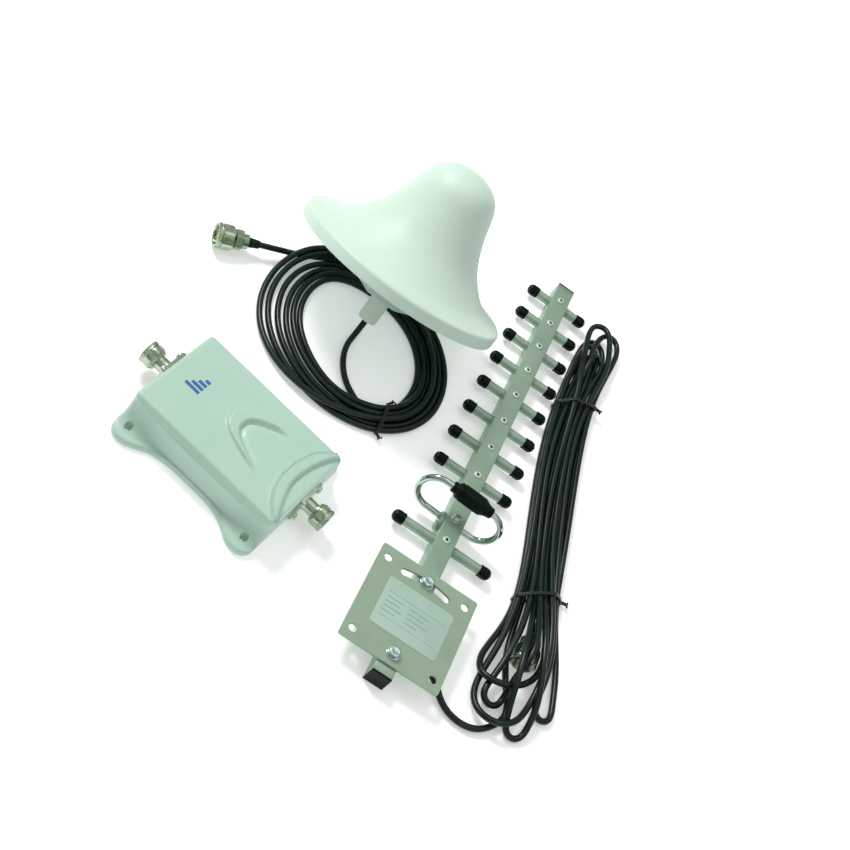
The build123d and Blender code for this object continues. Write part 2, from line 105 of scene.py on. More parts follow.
def bump(t, b, height, strength, dist=0.0002, under=None):
    n = node(t, "ShaderNodeBump")
    n.inputs["Strength"].default_value = strength
    n.inputs["Distance"].default_value = dist
    t.links.new(height, n.inputs["Height"])
    if under is not None:
        t.links.new(under, n.inputs["Normal"])
    t.links.new(n.outputs["Normal"], b.inputs["Normal"])
    return n.outputs["Normal"]


def surface(name, light, dark, rough, metallic=0.0, grain=900.0, grain_h=0.15, var=25.0, rough_var=0.08,
            stretch=(1, 1, 1), rot=(0, 0, 0), coat=0.0, spec=0.5, edge=0.0, wave=0.0, dist=0.0002):
    # colour drifts between two near shades, roughness drifts with it, and a fine grain lifts the surface
    m, t, b = principled(name)
    v = coords(t)
    vs = coords(t, stretch, rot)
    b.inputs["Metallic"].default_value = metallic
    b.inputs["Specular IOR Level"].default_value = spec
    if coat:
        b.inputs["Coat Weight"].default_value = coat
        b.inputs["Coat Roughness"].default_value = 0.12
    big = noise(t, v, var, 4.0, 0.6)
    t.links.new(ramp(t, big, [(0.3, dark), (0.7, light)]), b.inputs["Base Color"])
    fine = noise(t, vs, grain, 2.0, 0.6)
    t.links.new(ramp(t, fine, [(0.25, max(0.02, rough - rough_var)), (0.75, min(1.0, rough + rough_var))]), b.inputs["Roughness"])
    bump(t, b, fine, grain_h, dist)
    return m


def lin(r, g, b):
    f = lambda c: (c / 255 / 12.92) if c <= 10 else (((c / 255) + 0.055) / 1.055) ** 2.4
    return (f(r), f(g), f(b))


MAT = {}


def make_materials():
    M = MAT
    M["white_paint"] = surface("powder_coat_mint", lin(184, 214, 197), lin(178, 209, 192), 0.42, grain=1400, grain_h=0.2, var=18, rough_var=0.05, coat=0.12)
    M["dome_plastic"] = surface("dome_abs", lin(213, 235, 220), lin(205, 228, 212), 0.5, grain=1100, grain_h=0.10, var=12, rough_var=0.05)
    M["hub_plastic"] = surface("hub_abs", lin(196, 222, 216), lin(188, 215, 209), 0.40, grain=1200, grain_h=0.12, var=40)
    # painted light: the stub's colour is raised above the plastic's own tone to stand in for light it lacks in the
    # shade under the dome
    M["stub_plastic"] = surface("stub_abs_painted_light", lin(238, 248, 234), lin(230, 243, 227), 0.42, grain=1200, grain_h=0.12, var=50)
    M["bare_aluminium"] = surface("boom_aluminium", lin(160, 184, 165), lin(144, 170, 149), 0.4, metallic=0.4, grain=260, grain_h=0.25, var=30,
                                  rough_var=0.08, stretch=(14, 0.6, 14), rot=(0, 0, math.radians(-12.8)), dist=0.00008)
    M["matt_aluminium"] = surface("element_aluminium", lin(160, 183, 163), lin(141, 165, 145), 0.4, metallic=0.4, grain=700, grain_h=0.15, var=60)
    M["plate_metal"] = surface("plate_coat", lin(157, 179, 156), lin(146, 169, 144), 0.50, metallic=0.25, grain=1500, grain_h=0.3, var=45, rough_var=0.08)
    M["steel_screw"] = surface("screw_zinc", lin(216, 228, 220), lin(180, 196, 186), 0.30, metallic=0.85, grain=900, grain_h=0.1, var=300)
    M["zinc_bolt"] = surface("bolt_zinc", lin(205, 225, 222), lin(165, 190, 186), 0.24, metallic=0.95, grain=700, grain_h=0.12, var=250)
    M["nickel"] = surface("nickel_plate", lin(190, 204, 180), lin(150, 166, 142), 0.26, metallic=1.0, grain=600, grain_h=0.1, var=120, rough_var=0.06)
    M["brass_pin"] = surface("gold_contact", lin(220, 190, 110), lin(200, 165, 85), 0.25, metallic=1.0, grain=800, grain_h=0.05, var=200)
    M["chrome_tube"] = surface("chrome", lin(196, 212, 202), lin(172, 190, 180), 0.09, metallic=1.0, grain=400, grain_h=0.03, var=80, rough_var=0.03)
    M["tin_can"] = surface("tin", lin(190, 192, 190), lin(170, 172, 170), 0.35, metallic=1.0, grain=500)
    M["board"] = surface("solder_mask", lin(20, 110, 60), lin(12, 90, 48), 0.3, grain=500)
    M["black_plastic"] = surface("moulded_black", lin(9, 25, 17), lin(4, 14, 9), 0.32, grain=1300, grain_h=0.18, var=120, spec=0.11)
    M["lamp"] = surface("lamp_lens", lin(90, 220, 130), lin(60, 190, 100), 0.15, grain=500, grain_h=0.02)
    M["zinc_ring"] = surface("zinc_ring", lin(204, 222, 205), lin(184, 204, 187), 0.34, metallic=0.25, grain=900, grain_h=0.1, var=90)
    # painted shade: a dark material that stands in for the shade inside the screw recesses
    M["recess_painted_shade"] = surface("recess_painted_shade", lin(20, 32, 25), lin(10, 18, 13), 0.5, grain=900, grain_h=0.2, var=120, spec=0.15)
    M["black_rubber"] = surface("rubber_black", lin(13, 32, 25), lin(7, 19, 14), 0.45, grain=900, grain_h=0.25, var=150, spec=0.18)
    M["cap_rubber"] = surface("vinyl_cap", lin(8, 23, 14), lin(3, 11, 6), 0.24, grain=1500, grain_h=0.1, var=110, rough_var=0.05, spec=0.11)
    M["cable_jacket"] = surface("pvc_jacket", lin(10, 36, 26), lin(4, 19, 13), 0.3, grain=1600, grain_h=0.04, var=40, rough_var=0.05, spec=0.34, dist=0.0001)
    M["tie_wrap"] = surface("tie_plastic", lin(26, 36, 34), lin(15, 22, 20), 0.35, grain=900, grain_h=0.2, var=200)
    M["label_film"] = surface("label_film", lin(176, 203, 189), lin(170, 197, 183), 0.34, grain=900, grain_h=0.06, var=50)
    M["print_blue"] = surface("print_blue", lin(62, 112, 178), lin(52, 98, 162), 0.4, grain=1200, grain_h=0.1, var=200)
    M["print_grey"] = surface("print_grey", lin(150, 175, 166), lin(138, 164, 154), 0.45, grain=1200, grain_h=0.1, var=200)
    M["insulator"] = surface("insulator", lin(235, 235, 228), lin(225, 225, 218), 0.4, grain=900, grain_h=0.05, var=200)


make_materials()
for sub in frame["record"]["subparts"]:
    o = nodes.get(sub["node"])
    if o is None:
        continue
    o.data.materials.clear()
    o.data.materials.append(MAT[sub["material_slot"]])


# ------------------------------------------------------------------ mesh helpers; all helpers take millimetres
def mesh(name, verts, faces, material, body, smooth=True, sharp=None, replaces=(), matrix=None, materials=None, face_mats=None, weld=False):
    me = bpy.data.meshes.new(name)
    vv = [Vector(v) for v in verts]
    if matrix is not None:
        vv = [matrix @ v for v in vv]
    me.from_pydata([v * MM for v in vv], [], faces)
    me.update()
    me.validate()
    bm = bmesh.new()
    bm.from_mesh(me)
    if weld:
        bmesh.ops.remove_doubles(bm, verts=bm.verts[:], dist=1e-6)
    if all(e.is_manifold for e in bm.edges):
        bmesh.ops.recalc_face_normals(bm, faces=bm.faces[:])
        bm.to_mesh(me)
    bm.free()
    o = bpy.data.objects.new(name, me)
    bpy.context.scene.collection.objects.link(o)
    for m in (materials or [material]):
        me.materials.append(MAT[m])
    if face_mats is not None:
        for p, k in zip(me.polygons, face_mats):
            p.material_index = k
    for p in me.polygons:
        p.use_smooth = smooth
    if smooth and sharp is not None:
        me.set_sharp_from_angle(angle=math.radians(sharp))
    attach(o, body)
    if replaces:
        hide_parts(*replaces)
    return o


def join(parts):
    # several (verts, faces) into one
    V, F = [], []
    for v, f in parts:
        k = len(V)
        V += [tuple(p) for p in v]
        F += [tuple(i + k for i in q) for q in f]
    return V, F


def moved(part, m):
    v, f = part
    return [tuple(m @ Vector(p)) for p in v], f


def lathe(profile, seg=48, radius=None):
    # profile of (r, h) turned about Z. radius(r, h, angle) may shape it. Ends on the axis close to a point.
    V, F, rings = [], [], []
    for r, h in profile:
        if r <= 1e-6:
            V.append((0, 0, h))
            rings.append([len(V) - 1])
        else:
            k = len(V)
            for i in range(seg):
                a = 2 * math.pi * i / seg
                q = radius(r, h, a) if radius else r
                V.append((q * math.cos(a), q * math.sin(a), h))
            rings.append(list(range(k, k + seg)))
    for A, B in zip(rings, rings[1:]):
        for i in range(seg):
            j = (i + 1) % seg
            if len(A) == 1 and len(B) == 1:
                continue
            if len(A) == 1:
                F.append((A[0], B[j], B[i]))
            elif len(B) == 1:
                F.append((A[i], A[j], B[0]))
            else:
                F.append((A[i], A[j], B[j], B[i]))
    return V, F


def closed_lathe(profile, seg=48, radius=None):
    # a ring-shaped profile, its last point joined to its first
    V, F = lathe(profile + [profile[0]], seg, radius)
    n = len(profile) * seg
    F = [tuple(i % n if i >= n else i for i in f) for f in F]
    return V[:n], F


def rounded_profile(points, r=0.5, steps=3):
    # rounds each inner corner of an open (radius, height) line
    out = [points[0]]
    for a, b, c in zip(points, points[1:], points[2:]):
        A, B, C = Vector(a), Vector(b), Vector(c)
        u, v = A - B, C - B
        d = min(r, u.length * 0.45, v.length * 0.45)
        if d < 1e-4:
            out.append(b)
            continue
        p, q = B + u.normalized() * d, B + v.normalized() * d
        for k in range(steps + 1):
            s = k / steps
            w = p * (1 - s) ** 2 + B * 2 * s * (1 - s) + q * s * s
            out.append((w.x, w.y))
    out.append(points[-1])
    return out


def frame_on(point, direction, x_hint=(0, 0, 1)):
    z = Vector(direction).normalized()
    x = Vector(x_hint)
    x = (x - z * x.dot(z)).normalized()
    y = z.cross(x)
    m = Matrix((x, y, z)).transposed().to_4x4()
    m.translation = Vector(point)
    return m


def tube(points, r, seg=12, closed=False, flat=1.0, caps=True):
    # a tube along points, parallel-transported; flat squeezes its second cross axis
    P = [Vector(p) for p in points]
    n = len(P)
    T = []
    for i in range(n):
        a = P[(i - 1) % n] if (closed or i > 0) else P[i]
        b = P[(i + 1) % n] if (closed or i < n - 1) else P[i]
        T.append((b - a).normalized())
    ref = Vector((0, 0, 1)) if abs(T[0].z) < 0.9 else Vector((1, 0, 0))
    N = (ref - T[0] * ref.dot(T[0])).normalized()
    V, F = [], []
    for i in range(n):
        N = (N - T[i] * N.dot(T[i])).normalized()
        B = T[i].cross(N)
        rr = r(i / max(1, n - 1)) if callable(r) else r
        for k in range(seg):
            a = 2 * math.pi * k / seg
            V.append(tuple(P[i] + N * (rr * math.cos(a)) + B * (rr * flat * math.sin(a))))
    m = n if closed else n - 1
    for i in range(m):
        for k in range(seg):
            a, b = i * seg + k, i * seg + (k + 1) % seg
            c, d = ((i + 1) % n) * seg + (k + 1) % seg, ((i + 1) % n) * seg + k
            F.append((a, b, c, d))
    if not closed and caps:
        F.append(tuple(range(seg))[::-1])
        F.append(tuple(range((n - 1) * seg, n * seg)))
    return V, F


def soften(name, width, weld=True, angle=35, seg=2):
    # rounds the sharp edges of a CAD piece; its own vertices stay as they are
    o = nodes[name]
    w = o.modifiers.new("weld", "WELD")
    w.merge_threshold = 1e-6
    b = o.modifiers.new("edges", "BEVEL")
    b.width = width * MM
    b.segments = seg
    b.limit_method = "ANGLE"
    b.angle_limit = math.radians(angle)
    b.harden_normals = False
    return o


# ------------------------------------------------------------------ camera, light, floor
def stage():
    sc = bpy.context.scene
    cam_data = bpy.data.cameras.new("camera")
    cam_data.lens = 59.29
    cam_data.sensor_width = 36.0
    cam_data.clip_end = 20
    cam = bpy.data.objects.new("camera", cam_data)
    sc.collection.objects.link(cam)
    right = Vector((0.7226, 0.5243, 0.4504)).normalized()
    ahead = Vector((-0.031, 0.6755, -0.7367)).normalized()
    down = ahead.cross(right).normalized()
    m = Matrix((right, -down, -ahead)).transposed().to_4x4()
    m.translation = Vector((0.12201, -0.59613, 0.81388))
    cam.matrix_world = m
    sc.camera = cam

    me = bpy.data.meshes.new("floor")
    s = 6.0
    me.from_pydata([(-s, -s, -0.0004), (s, -s, -0.0004), (s, s, -0.0004), (-s, s, -0.0004)], [], [(0, 1, 2, 3)])
    floor = bpy.data.objects.new("floor", me)
    sc.collection.objects.link(floor)
    fm, t, b = principled("floor_paper")
    v = coords(t)
    t.links.new(ramp(t, noise(t, v, 3.0), [(0.3, (0.955, 0.96, 0.957)), (0.7, (0.97, 0.972, 0.97))]), b.inputs["Base Color"])
    b.inputs["Emission Color"].default_value = (1, 1, 1, 1)
    b.inputs["Emission Strength"].default_value = 0.32
    b.inputs["Roughness"].default_value = 0.9
    b.inputs["Specular IOR Level"].default_value = 0.1
    me.materials.append(fm)

    w = bpy.data.worlds.new("studio")
    sc.world = w
    w.use_nodes = True
    wt = w.node_tree
    bg = wt.nodes["Background"]
    tc = wt.nodes.new("ShaderNodeTexCoord")
    sep = wt.nodes.new("ShaderNodeSeparateXYZ")
    wt.links.new(tc.outputs["Generated"], sep.inputs["Vector"])
    cr = ramp(wt, sep.outputs["Z"], [(0.0, (0.13, 0.165, 0.15)), (0.16, (0.17, 0.21, 0.19)), (0.34, (0.75, 0.82, 0.78)), (0.5, (1.1, 1.12, 1.1)), (1.0, (1.15, 1.15, 1.15))])
    wt.links.new(cr, bg.inputs["Color"])
    bg.inputs["Strength"].default_value = 0.41

    def area(name, loc, target, size, power, color=(1, 1, 1), sy=None):
        d = bpy.data.lights.new(name, "AREA")
        d.shape = "RECTANGLE"
        d.size = size
        d.size_y = sy or size
        d.energy = power
        d.color = color
        o = bpy.data.objects.new(name, d)
        sc.collection.objects.link(o)
        o.location = loc
        o.rotation_euler = (Vector(target) - Vector(loc)).to_track_quat("-Z", "Y").to_euler()

    area("key", (-1.3, 0.5, 1.6), (0.05, 0.05, 0), 0.5, 27, (1.0, 1.0, 0.99))
    area("top", (0.3, 0.5, 2.0), (0.1, 0.1, 0), 1.6, 6, (0.98, 1.0, 1.0))
    area("fill", (1.4, -1.2, 1.1), (0.1, 0.0, 0), 1.0, 2, (1.0, 0.99, 0.97))
    sc.view_settings.view_transform = "Standard"
    sc.view_settings.look = "None"


stage()

# ------------------------------------------------------------------ cords, control points in mm (the route's own points first and last)
COIL = [
    (-5.9, 186.0, 22.6), (-3.9, 174.0, 2.9), (-0.5, 146.0, 2.9), (18.0, 122.5, 2.9), (45.5, 113.0, 2.9), (57.6, 121.7, 2.5),
    (63.2, 137.6, 2.6), (63.9, 155.9, 2.5), (59.4, 173.8, 2.6), (50.0, 189.7, 2.5), (36.5, 202.3, 2.6), (19.9, 210.7, 2.5),
    (0.9, 214.2, 2.5), (-18.7, 212.7, 2.5), (-35.5, 207.1, 2.5), (-47.4, 197.9, 2.5), (-53.6, 184.8, 2.6), (-54.2, 168.1, 2.5),
    (-49.4, 150.7, 2.6), (-40.0, 135.7, 2.5), (-26.7, 124.2, 2.6), (-10.3, 115.7, 2.5), (7.1, 110.2, 2.9), (24.1, 108.8, 4.9),
    (40.1, 112.7, 7.8), (55.0, 122.7, 8.0), (64.7, 138.7, 7.5), (67.5, 157.0, 6.1), (63.7, 175.2, 4.7), (54.3, 191.9, 4.0),
    (40.2, 205.6, 3.7), (22.7, 214.8, 3.8), (2.4, 218.8, 4.1), (-18.5, 217.4, 4.7), (-36.8, 211.3, 5.2), (-50.2, 201.5, 4.8),
    (-58.0, 187.8, 3.8), (-59.8, 170.5, 3.2), (-56.1, 152.3, 3.0), (-47.6, 136.1, 2.9), (-34.9, 122.9, 2.9), (-18.7, 112.8, 3.1),
    (-0.2, 106.0, 3.7), (19.2, 103.5, 5.2), (39.1, 106.6, 6.8), (57.4, 117.6, 7.4), (68.4, 135.8, 5.3), (71.8, 156.3, 3.3),
    (68.2, 176.5, 2.5), (58.3, 194.7, 2.6), (43.4, 209.3, 2.5), (25.1, 219.1, 2.5), (4.0, 223.4, 2.5), (-17.8, 221.9, 2.5),
    (-37.7, 215.6, 2.5), (-52.9, 205.3, 2.5), (-62.1, 190.8, 2.6), (-65.0, 172.8, 2.5), (-62.2, 153.8, 2.5), (-54.6, 136.3, 2.5),
    (-42.7, 121.5, 2.5), (-26.7, 109.8, 2.6), (-7.5, 101.7, 2.5), (13.8, 98.7, 2.6), (36.1, 102.5, 2.5), (57.5, 114.1, 2.6),
    (71.7, 132.8, 2.6), (76.7, 154.5, 2.5), (73.3, 176.7, 2.7), (63.1, 196.4, 2.9), (47.6, 212.3, 3.0), (28.2, 223.1, 2.9),
    (6.0, 228.1, 2.6), (-17.1, 227.0, 2.5), (-38.3, 220.7, 2.6), (-55.3, 209.8, 2.6), (-66.9, 194.5, 2.9), (-71.7, 175.7, 3.1),
    (-70.2, 155.7, 3.1), (-63.2, 136.8, 3.1), (-51.5, 120.1, 3.1), (-35.3, 106.8, 3.2), (-15.0, 97.4, 3.2), (8.8, 93.4, 3.3),
    (35.0, 96.7, 3.1), (60.5, 109.7, 2.6), (76.7, 131.1, 2.5), (81.8, 155.7, 2.6), (77.6, 179.5, 2.5), (66.4, 200.2, 2.6),
    (50.0, 216.7, 2.5), (29.7, 227.9, 2.6), (6.0, 234.0, 3.7), (-18.6, 235.0, 6.2), (-41.2, 228.6, 8.5), (-59.4, 215.4, 8.8),
    (-72.3, 198.1, 8.2), (-78.8, 178.4, 6.4), (-78.6, 157.6, 3.8), (-72.3, 137.2, 2.6), (-60.7, 118.7, 2.5), (-43.9, 103.8, 2.6),
    (-22.0, 93.2, 2.5), (4.6, 88.3, 2.6), (34.0, 91.2, 2.5), (61.9, 104.7, 3.0), (80.2, 127.3, 3.4), (86.5, 153.8, 3.5),
    (82.6, 179.4, 3.4), (71.2, 201.8, 3.3), (54.2, 219.6, 3.0), (32.8, 231.9, 2.7), (8.1, 238.7, 2.6), (-17.9, 239.3, 3.4),
    (-42.4, 232.8, 5.7), (-62.4, 219.7, 7.9), (-76.2, 201.2, 9.5), (-82.9, 179.8, 9.5), (-84.1, 158.3, 6.4), (-79.3, 137.1, 3.8),
    (-68.6, 117.0, 2.7), (-51.9, 100.3, 2.8), (-29.4, 88.7, 4.0), (-1.9, 84.6, 6.1), (28.2, 91.2, 7.7), (56.1, 109.0, 8.0),
    (72.5, 131.7, 8.0), (76.3, 155.4, 7.6), (71.4, 177.2, 7.3), (60.5, 195.9, 7.2), (45.2, 211.1, 7.3), (26.5, 222.1, 7.6),
    (4.5, 228.7, 7.6), (-19.1, 229.7, 6.5), (-42.0, 224.7, 4.0), (-62.5, 210.5, 2.2), (-80.5, 188.0, 3.2), (-95.1, 166.7, 10.3),
    (-105.7, 157.5, 10.3),
]
HANK = [
    (7.0, 36.5, 8.0), (34.0, 31.0, 6.5), (52.0, 10.0, 3.0), (79.0, 8.0, 3.2), (96.5, 28.5, 3.4), (95.6, 43.5, 3.0),
    (87.3, 59.2, 2.6), (79.9, 79.6, 2.5), (77.6, 105.8, 2.8), (75.5, 137.1, 3.1), (70.7, 171.8, 3.1), (63.3, 207.6, 2.8),
    (55.2, 242.7, 2.5), (48.2, 276.2, 2.6), (43.3, 308.3, 3.9), (41.5, 338.1, 6.6), (43.7, 364.3, 8.4), (52.9, 388.6, 3.1),
    (54.9, 399.5, 2.3), (51.8, 405.5, 3.5), (45.5, 406.5, 5.8), (40.8, 401.5, 7.5), (37.5, 387.7, 8.7), (36.8, 361.0, 8.7),
    (37.2, 335.6, 8.5), (38.8, 307.6, 8.0), (42.4, 276.8, 7.7), (48.6, 242.9, 7.5), (56.7, 207.0, 7.5), (64.4, 170.7, 7.8),
    (69.9, 136.1, 8.0), (71.9, 105.4, 7.5), (70.9, 79.9, 6.1), (68.4, 59.9, 4.4), (66.8, 44.6, 3.6), (68.4, 32.4, 4.5),
    (74.3, 23.4, 7.2), (84.1, 19.3, 10.4), (95.2, 21.7, 12.2), (103.8, 31.2, 11.4), (107.7, 46.0, 10.2), (109.0, 63.0, 12.3),
    (107.9, 80.8, 16.1), (103.8, 99.6, 18.2), (97.9, 120.8, 17.4), (90.7, 145.3, 13.9), (82.8, 174.0, 9.9), (75.2, 206.5, 7.7),
    (68.0, 241.6, 7.6), (61.7, 276.3, 8.1), (57.1, 307.8, 8.7), (55.9, 335.4, 9.6), (57.1, 359.9, 10.3), (60.5, 384.2, 11.4),
    (57.2, 393.6, 10.5), (51.4, 396.5, 7.9), (45.9, 393.4, 5.1), (42.0, 383.0, 2.7), (44.7, 359.6, 2.5), (48.3, 335.9, 3.1),
    (51.1, 308.2, 3.0), (54.8, 276.7, 2.7), (60.7, 241.6, 2.6), (68.5, 205.5, 2.6), (76.4, 172.0, 2.9), (82.1, 143.5, 6.0),
    (84.3, 120.5, 12.3), (84.4, 101.4, 19.3), (85.0, 84.1, 23.7), (86.7, 67.0, 24.3), (89.5, 50.6, 21.0), (93.2, 36.9, 13.7),
    (97.9, 26.5, 6.4), (102.1, 21.7, 3.4), (108.9, 21.8, 2.3), (113.7, 26.8, 3.3), (114.2, 36.4, 7.6), (112.5, 49.0, 13.8),
    (107.5, 63.8, 19.2), (101.9, 80.2, 22.2), (97.1, 98.5, 22.0), (92.2, 119.6, 17.2), (86.8, 144.3, 10.5), (80.9, 173.4, 5.1),
    (74.6, 206.5, 2.6), (68.1, 242.0, 2.5), (62.2, 276.6, 2.8), (57.7, 307.7, 3.0), (54.1, 334.4, 4.7), (51.8, 357.6, 8.5),
    (49.0, 378.5, 11.5), (45.5, 398.4, 11.3), (47.8, 417.4, 10.1), (53.0, 427.3, 8.6), (59.4, 430.1, 7.6), (65.5, 426.9, 7.0),
    (69.1, 417.2, 6.9), (68.8, 399.8, 7.0), (67.3, 380.9, 7.2), (65.8, 359.9, 7.6), (66.2, 336.2, 8.0), (69.1, 308.3, 8.0),
    (74.1, 276.4, 7.9), (80.7, 241.8, 8.0), (87.6, 206.9, 8.1), (93.8, 174.0, 7.8), (99.4, 145.0, 6.8), (104.2, 119.8, 5.9),
    (107.0, 97.5, 6.7), (106.7, 77.3, 9.9), (100.0, 60.4, 14.3), (88.0, 49.3, 15.8), (73.8, 46.5, 13.4), (64.2, 51.7, 8.5),
    (61.7, 63.6, 5.0), (64.7, 79.5, 3.3), (69.2, 97.7, 2.6), (71.3, 118.4, 2.5), (69.5, 142.7, 2.6), (63.9, 171.9, 2.6),
    (56.0, 205.5, 2.6), (48.0, 241.6, 2.6), (41.8, 276.6, 2.6), (38.4, 308.1, 2.6), (37.2, 336.1, 2.6), (37.0, 361.3, 2.6),
    (37.0, 384.0, 2.6), (38.1, 405.2, 2.6), (43.2, 414.8, 2.8), (49.8, 417.3, 2.8), (56.0, 413.7, 2.7), (61.3, 402.0, 2.5),
    (63.4, 381.2, 2.6), (63.9, 359.4, 2.6), (65.0, 335.3, 2.6), (68.5, 308.0, 2.6), (74.2, 276.4, 2.7), (81.0, 241.4, 2.8),
    (88.0, 206.2, 2.8), (94.9, 174.2, 2.7), (101.4, 147.6, 2.6), (107.5, 127.0, 2.7), (113.5, 111.0, 2.7), (118.9, 97.1, 2.6),
    (123.2, 83.3, 2.6), (126.6, 68.3, 2.6), (129.4, 55.4, 2.5), (126.9, 48.9, 2.6), (120.6, 46.6, 3.4), (114.9, 50.3, 4.7),
    (113.6, 59.2, 5.9), (113.6, 77.2, 8.7), (110.5, 96.0, 11.1), (104.5, 117.2, 11.4), (96.8, 142.5, 10.7), (89.0, 172.6, 9.6),
    (81.3, 206.7, 8.3), (73.5, 242.2, 7.5), (66.8, 276.4, 7.3), (62.6, 307.8, 7.8), (61.3, 335.3, 9.6), (62.3, 359.3, 12.3),
    (63.4, 380.9, 15.2), (60.3, 400.2, 15.3), (55.4, 418.0, 15.0), (50.4, 427.0, 13.9), (44.0, 429.1, 12.3), (38.3, 425.4, 11.1),
    (36.5, 416.1, 11.2), (37.6, 397.7, 13.9), (39.6, 378.0, 16.8), (42.7, 356.8, 17.6), (47.2, 333.7, 15.3), (51.5, 307.3, 12.0),
    (55.6, 276.7, 9.0), (60.7, 242.1, 7.7), (67.7, 206.3, 7.5), (75.3, 172.5, 8.6), (81.9, 143.0, 12.2), (86.9, 119.0, 17.4),
    (90.1, 100.0, 22.3), (91.5, 84.3, 25.2), (91.2, 70.8, 23.0), (89.3, 58.3, 12.8), (89.5, 43.2, 5.4), (87.2, 36.0, 4.4),
    (81.0, 33.3, 4.7), (75.0, 36.4, 5.8), (73.6, 43.5, 6.9), (76.9, 61.2, 10.8), (78.8, 79.3, 13.9), (79.7, 98.6, 14.6),
    (79.0, 119.3, 13.1), (76.2, 143.2, 10.7), (70.4, 172.0, 8.6), (62.2, 205.4, 7.5), (53.6, 241.5, 7.3), (47.5, 276.8, 7.8),
    (44.9, 308.3, 8.9), (44.6, 335.8, 10.4), (45.8, 360.6, 13.0), (45.6, 379.4, 18.6), (47.7, 386.6, 18.4), (51.8, 389.7, 14.0),
    (55.0, 386.9, 8.5), (56.0, 377.8, 5.0), (57.1, 357.0, 3.3), (59.6, 335.1, 2.6), (63.3, 308.8, 2.6), (68.7, 277.6, 2.7),
    (75.8, 241.4, 2.7), (83.2, 204.4, 2.7), (88.5, 172.2, 3.8), (91.3, 145.8, 6.9), (92.0, 123.0, 10.3), (92.0, 111.0, 10.3),
]


def cord_curve(name, points, matrix, body, replaces):
    cu = bpy.data.curves.new(name, "CURVE")
    cu.dimensions = "3D"
    sp = cu.splines.new("NURBS")
    sp.points.add(len(points) - 1)
    for p, q in zip(sp.points, points):
        w = (matrix @ Vector(q)) * MM
        p.co = (w.x, w.y, w.z, 1)
    sp.order_u = 3
    sp.use_endpoint_u = True
    sp.resolution_u = 6
    cu.bevel_depth = 0.0025
    cu.bevel_resolution = 4
    cu.use_fill_caps = True
    cu.materials.append(MAT["cable_jacket"])
    o = bpy.data.objects.new(name, cu)
    bpy.context.scene.collection.objects.link(o)
    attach(o, body)
    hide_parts(*replaces)
    return o


def centreline(o):
    # points read from the cord's own spline, as a curve with no bevel gives them
    c = o.data.copy()
    c.bevel_depth = 0
    tmp = bpy.data.objects.new("line", c)
    bpy.context.scene.collection.objects.link(tmp)
    bpy.context.view_layer.update()
    me = bpy.data.meshes.new_from_object(tmp)
    pts = [Vector(v.co) / MM for v in me.vertices]
    bpy.data.objects.remove(tmp)
    bpy.data.curves.remove(c)
    bpy.data.meshes.remove(me)
    return pts


dome_cord = cord_curve("dome_cable", COIL, Matrix.Identity(4), "dome_antenna", ["dome_cable_lead", "dome_cable_coil", "dome_cable_tail"])
yagi_cord = cord_curve("yagi_cable", HANK, YAGI, "yagi_antenna", ["yagi_cable_lead", "yagi_cable_hank", "yagi_cable_tail"])
dome_line = centreline(dome_cord)
yagi_line = centreline(yagi_cord)


def hull(points):
    pts = sorted(set((round(x, 4), round(y, 4)) for x, y in points))
    def half(seq):
        out = []
        for p in seq:
            while len(out) > 1 and (out[-1][0] - out[-2][0]) * (p[1] - out[-2][1]) - (out[-1][1] - out[-2][1]) * (p[0] - out[-2][0]) <= 0:
                out.pop()
            out.append(p)
        return out
    a, b = half(pts), half(pts[::-1])
    return a[:-1] + b[:-1]


def crossings(line, at, normal, half_u, lo, hi, u):
    # where the cord's line passes the tie's plane, near the tie
    n, at = Vector(normal).normalized(), Vector(at)
    out = []
    for p, q in zip(line, line[1:]):
        a, b = (p - at).dot(n), (q - at).dot(n)
        if (a <= 0 < b) or (b <= 0 < a):
            w = p + (q - p) * (a / (a - b))
            if abs((w - at).dot(u)) < half_u and lo < w.z < hi:
                out.append(w)
    return out


def tie_loop(line, at, normal, half_u, reach=2.5 + 0.75, floor=0.8):
    # a wire drawn tight round the turns that pass it
    n = Vector(normal).normalized()
    u = Vector((0, 0, 1)).cross(n).normalized()
    cs = crossings(line, at, n, half_u, -1, 30, u)
    ring = []
    for c in cs:
        d = c - Vector(at)
        for k in range(24):
            a = 2 * math.pi * k / 24
            ring.append((d.dot(u) + reach * math.cos(a), max(floor, c.z + reach * math.sin(a))))
    h = hull(ring)
    pts = []
    for (x0, y0), (x1, y1) in zip(h, h[1:] + h[:1]):
        m = max(1, int(math.hypot(x1 - x0, y1 - y0) / 1.6))
        for k in range(m):
            pts.append((x0 + (x1 - x0) * k / m, y0 + (y1 - y0) * k / m))
    base = Vector((at[0], at[1], 0))
    return [base + u * x + Vector((0, 0, y)) for x, y in pts], u, cs


def twist(start, direction, length, r, turns=3.0, lift=(0, 0, 0)):
    # the twisted pair of ends of a tie
    d = Vector(direction).normalized()
    a = d.orthogonal().normalized()
    b = d.cross(a)
    out = []
    for side in (0, math.pi):
        pts = []
        for k in range(25):
            s = k / 24
            w = side + s * turns * 2 * math.pi
            spread = r * 0.95 + (1.6 if s > 0.86 else 0.0) * (s - 0.86) / 0.14
            pts.append(Vector(start) + d * (length * s) + (a * math.cos(w) + b * math.sin(w)) * spread + Vector(lift) * s * s)
        out.append(tube(pts, r, 8))
    return out


# ------------------------------------------------------------------ amplifier cover
def smooth(a, b, x):
    t = np.clip((x - a) / (b - a), 0, 1)
    return t * t * (3 - 2 * t)


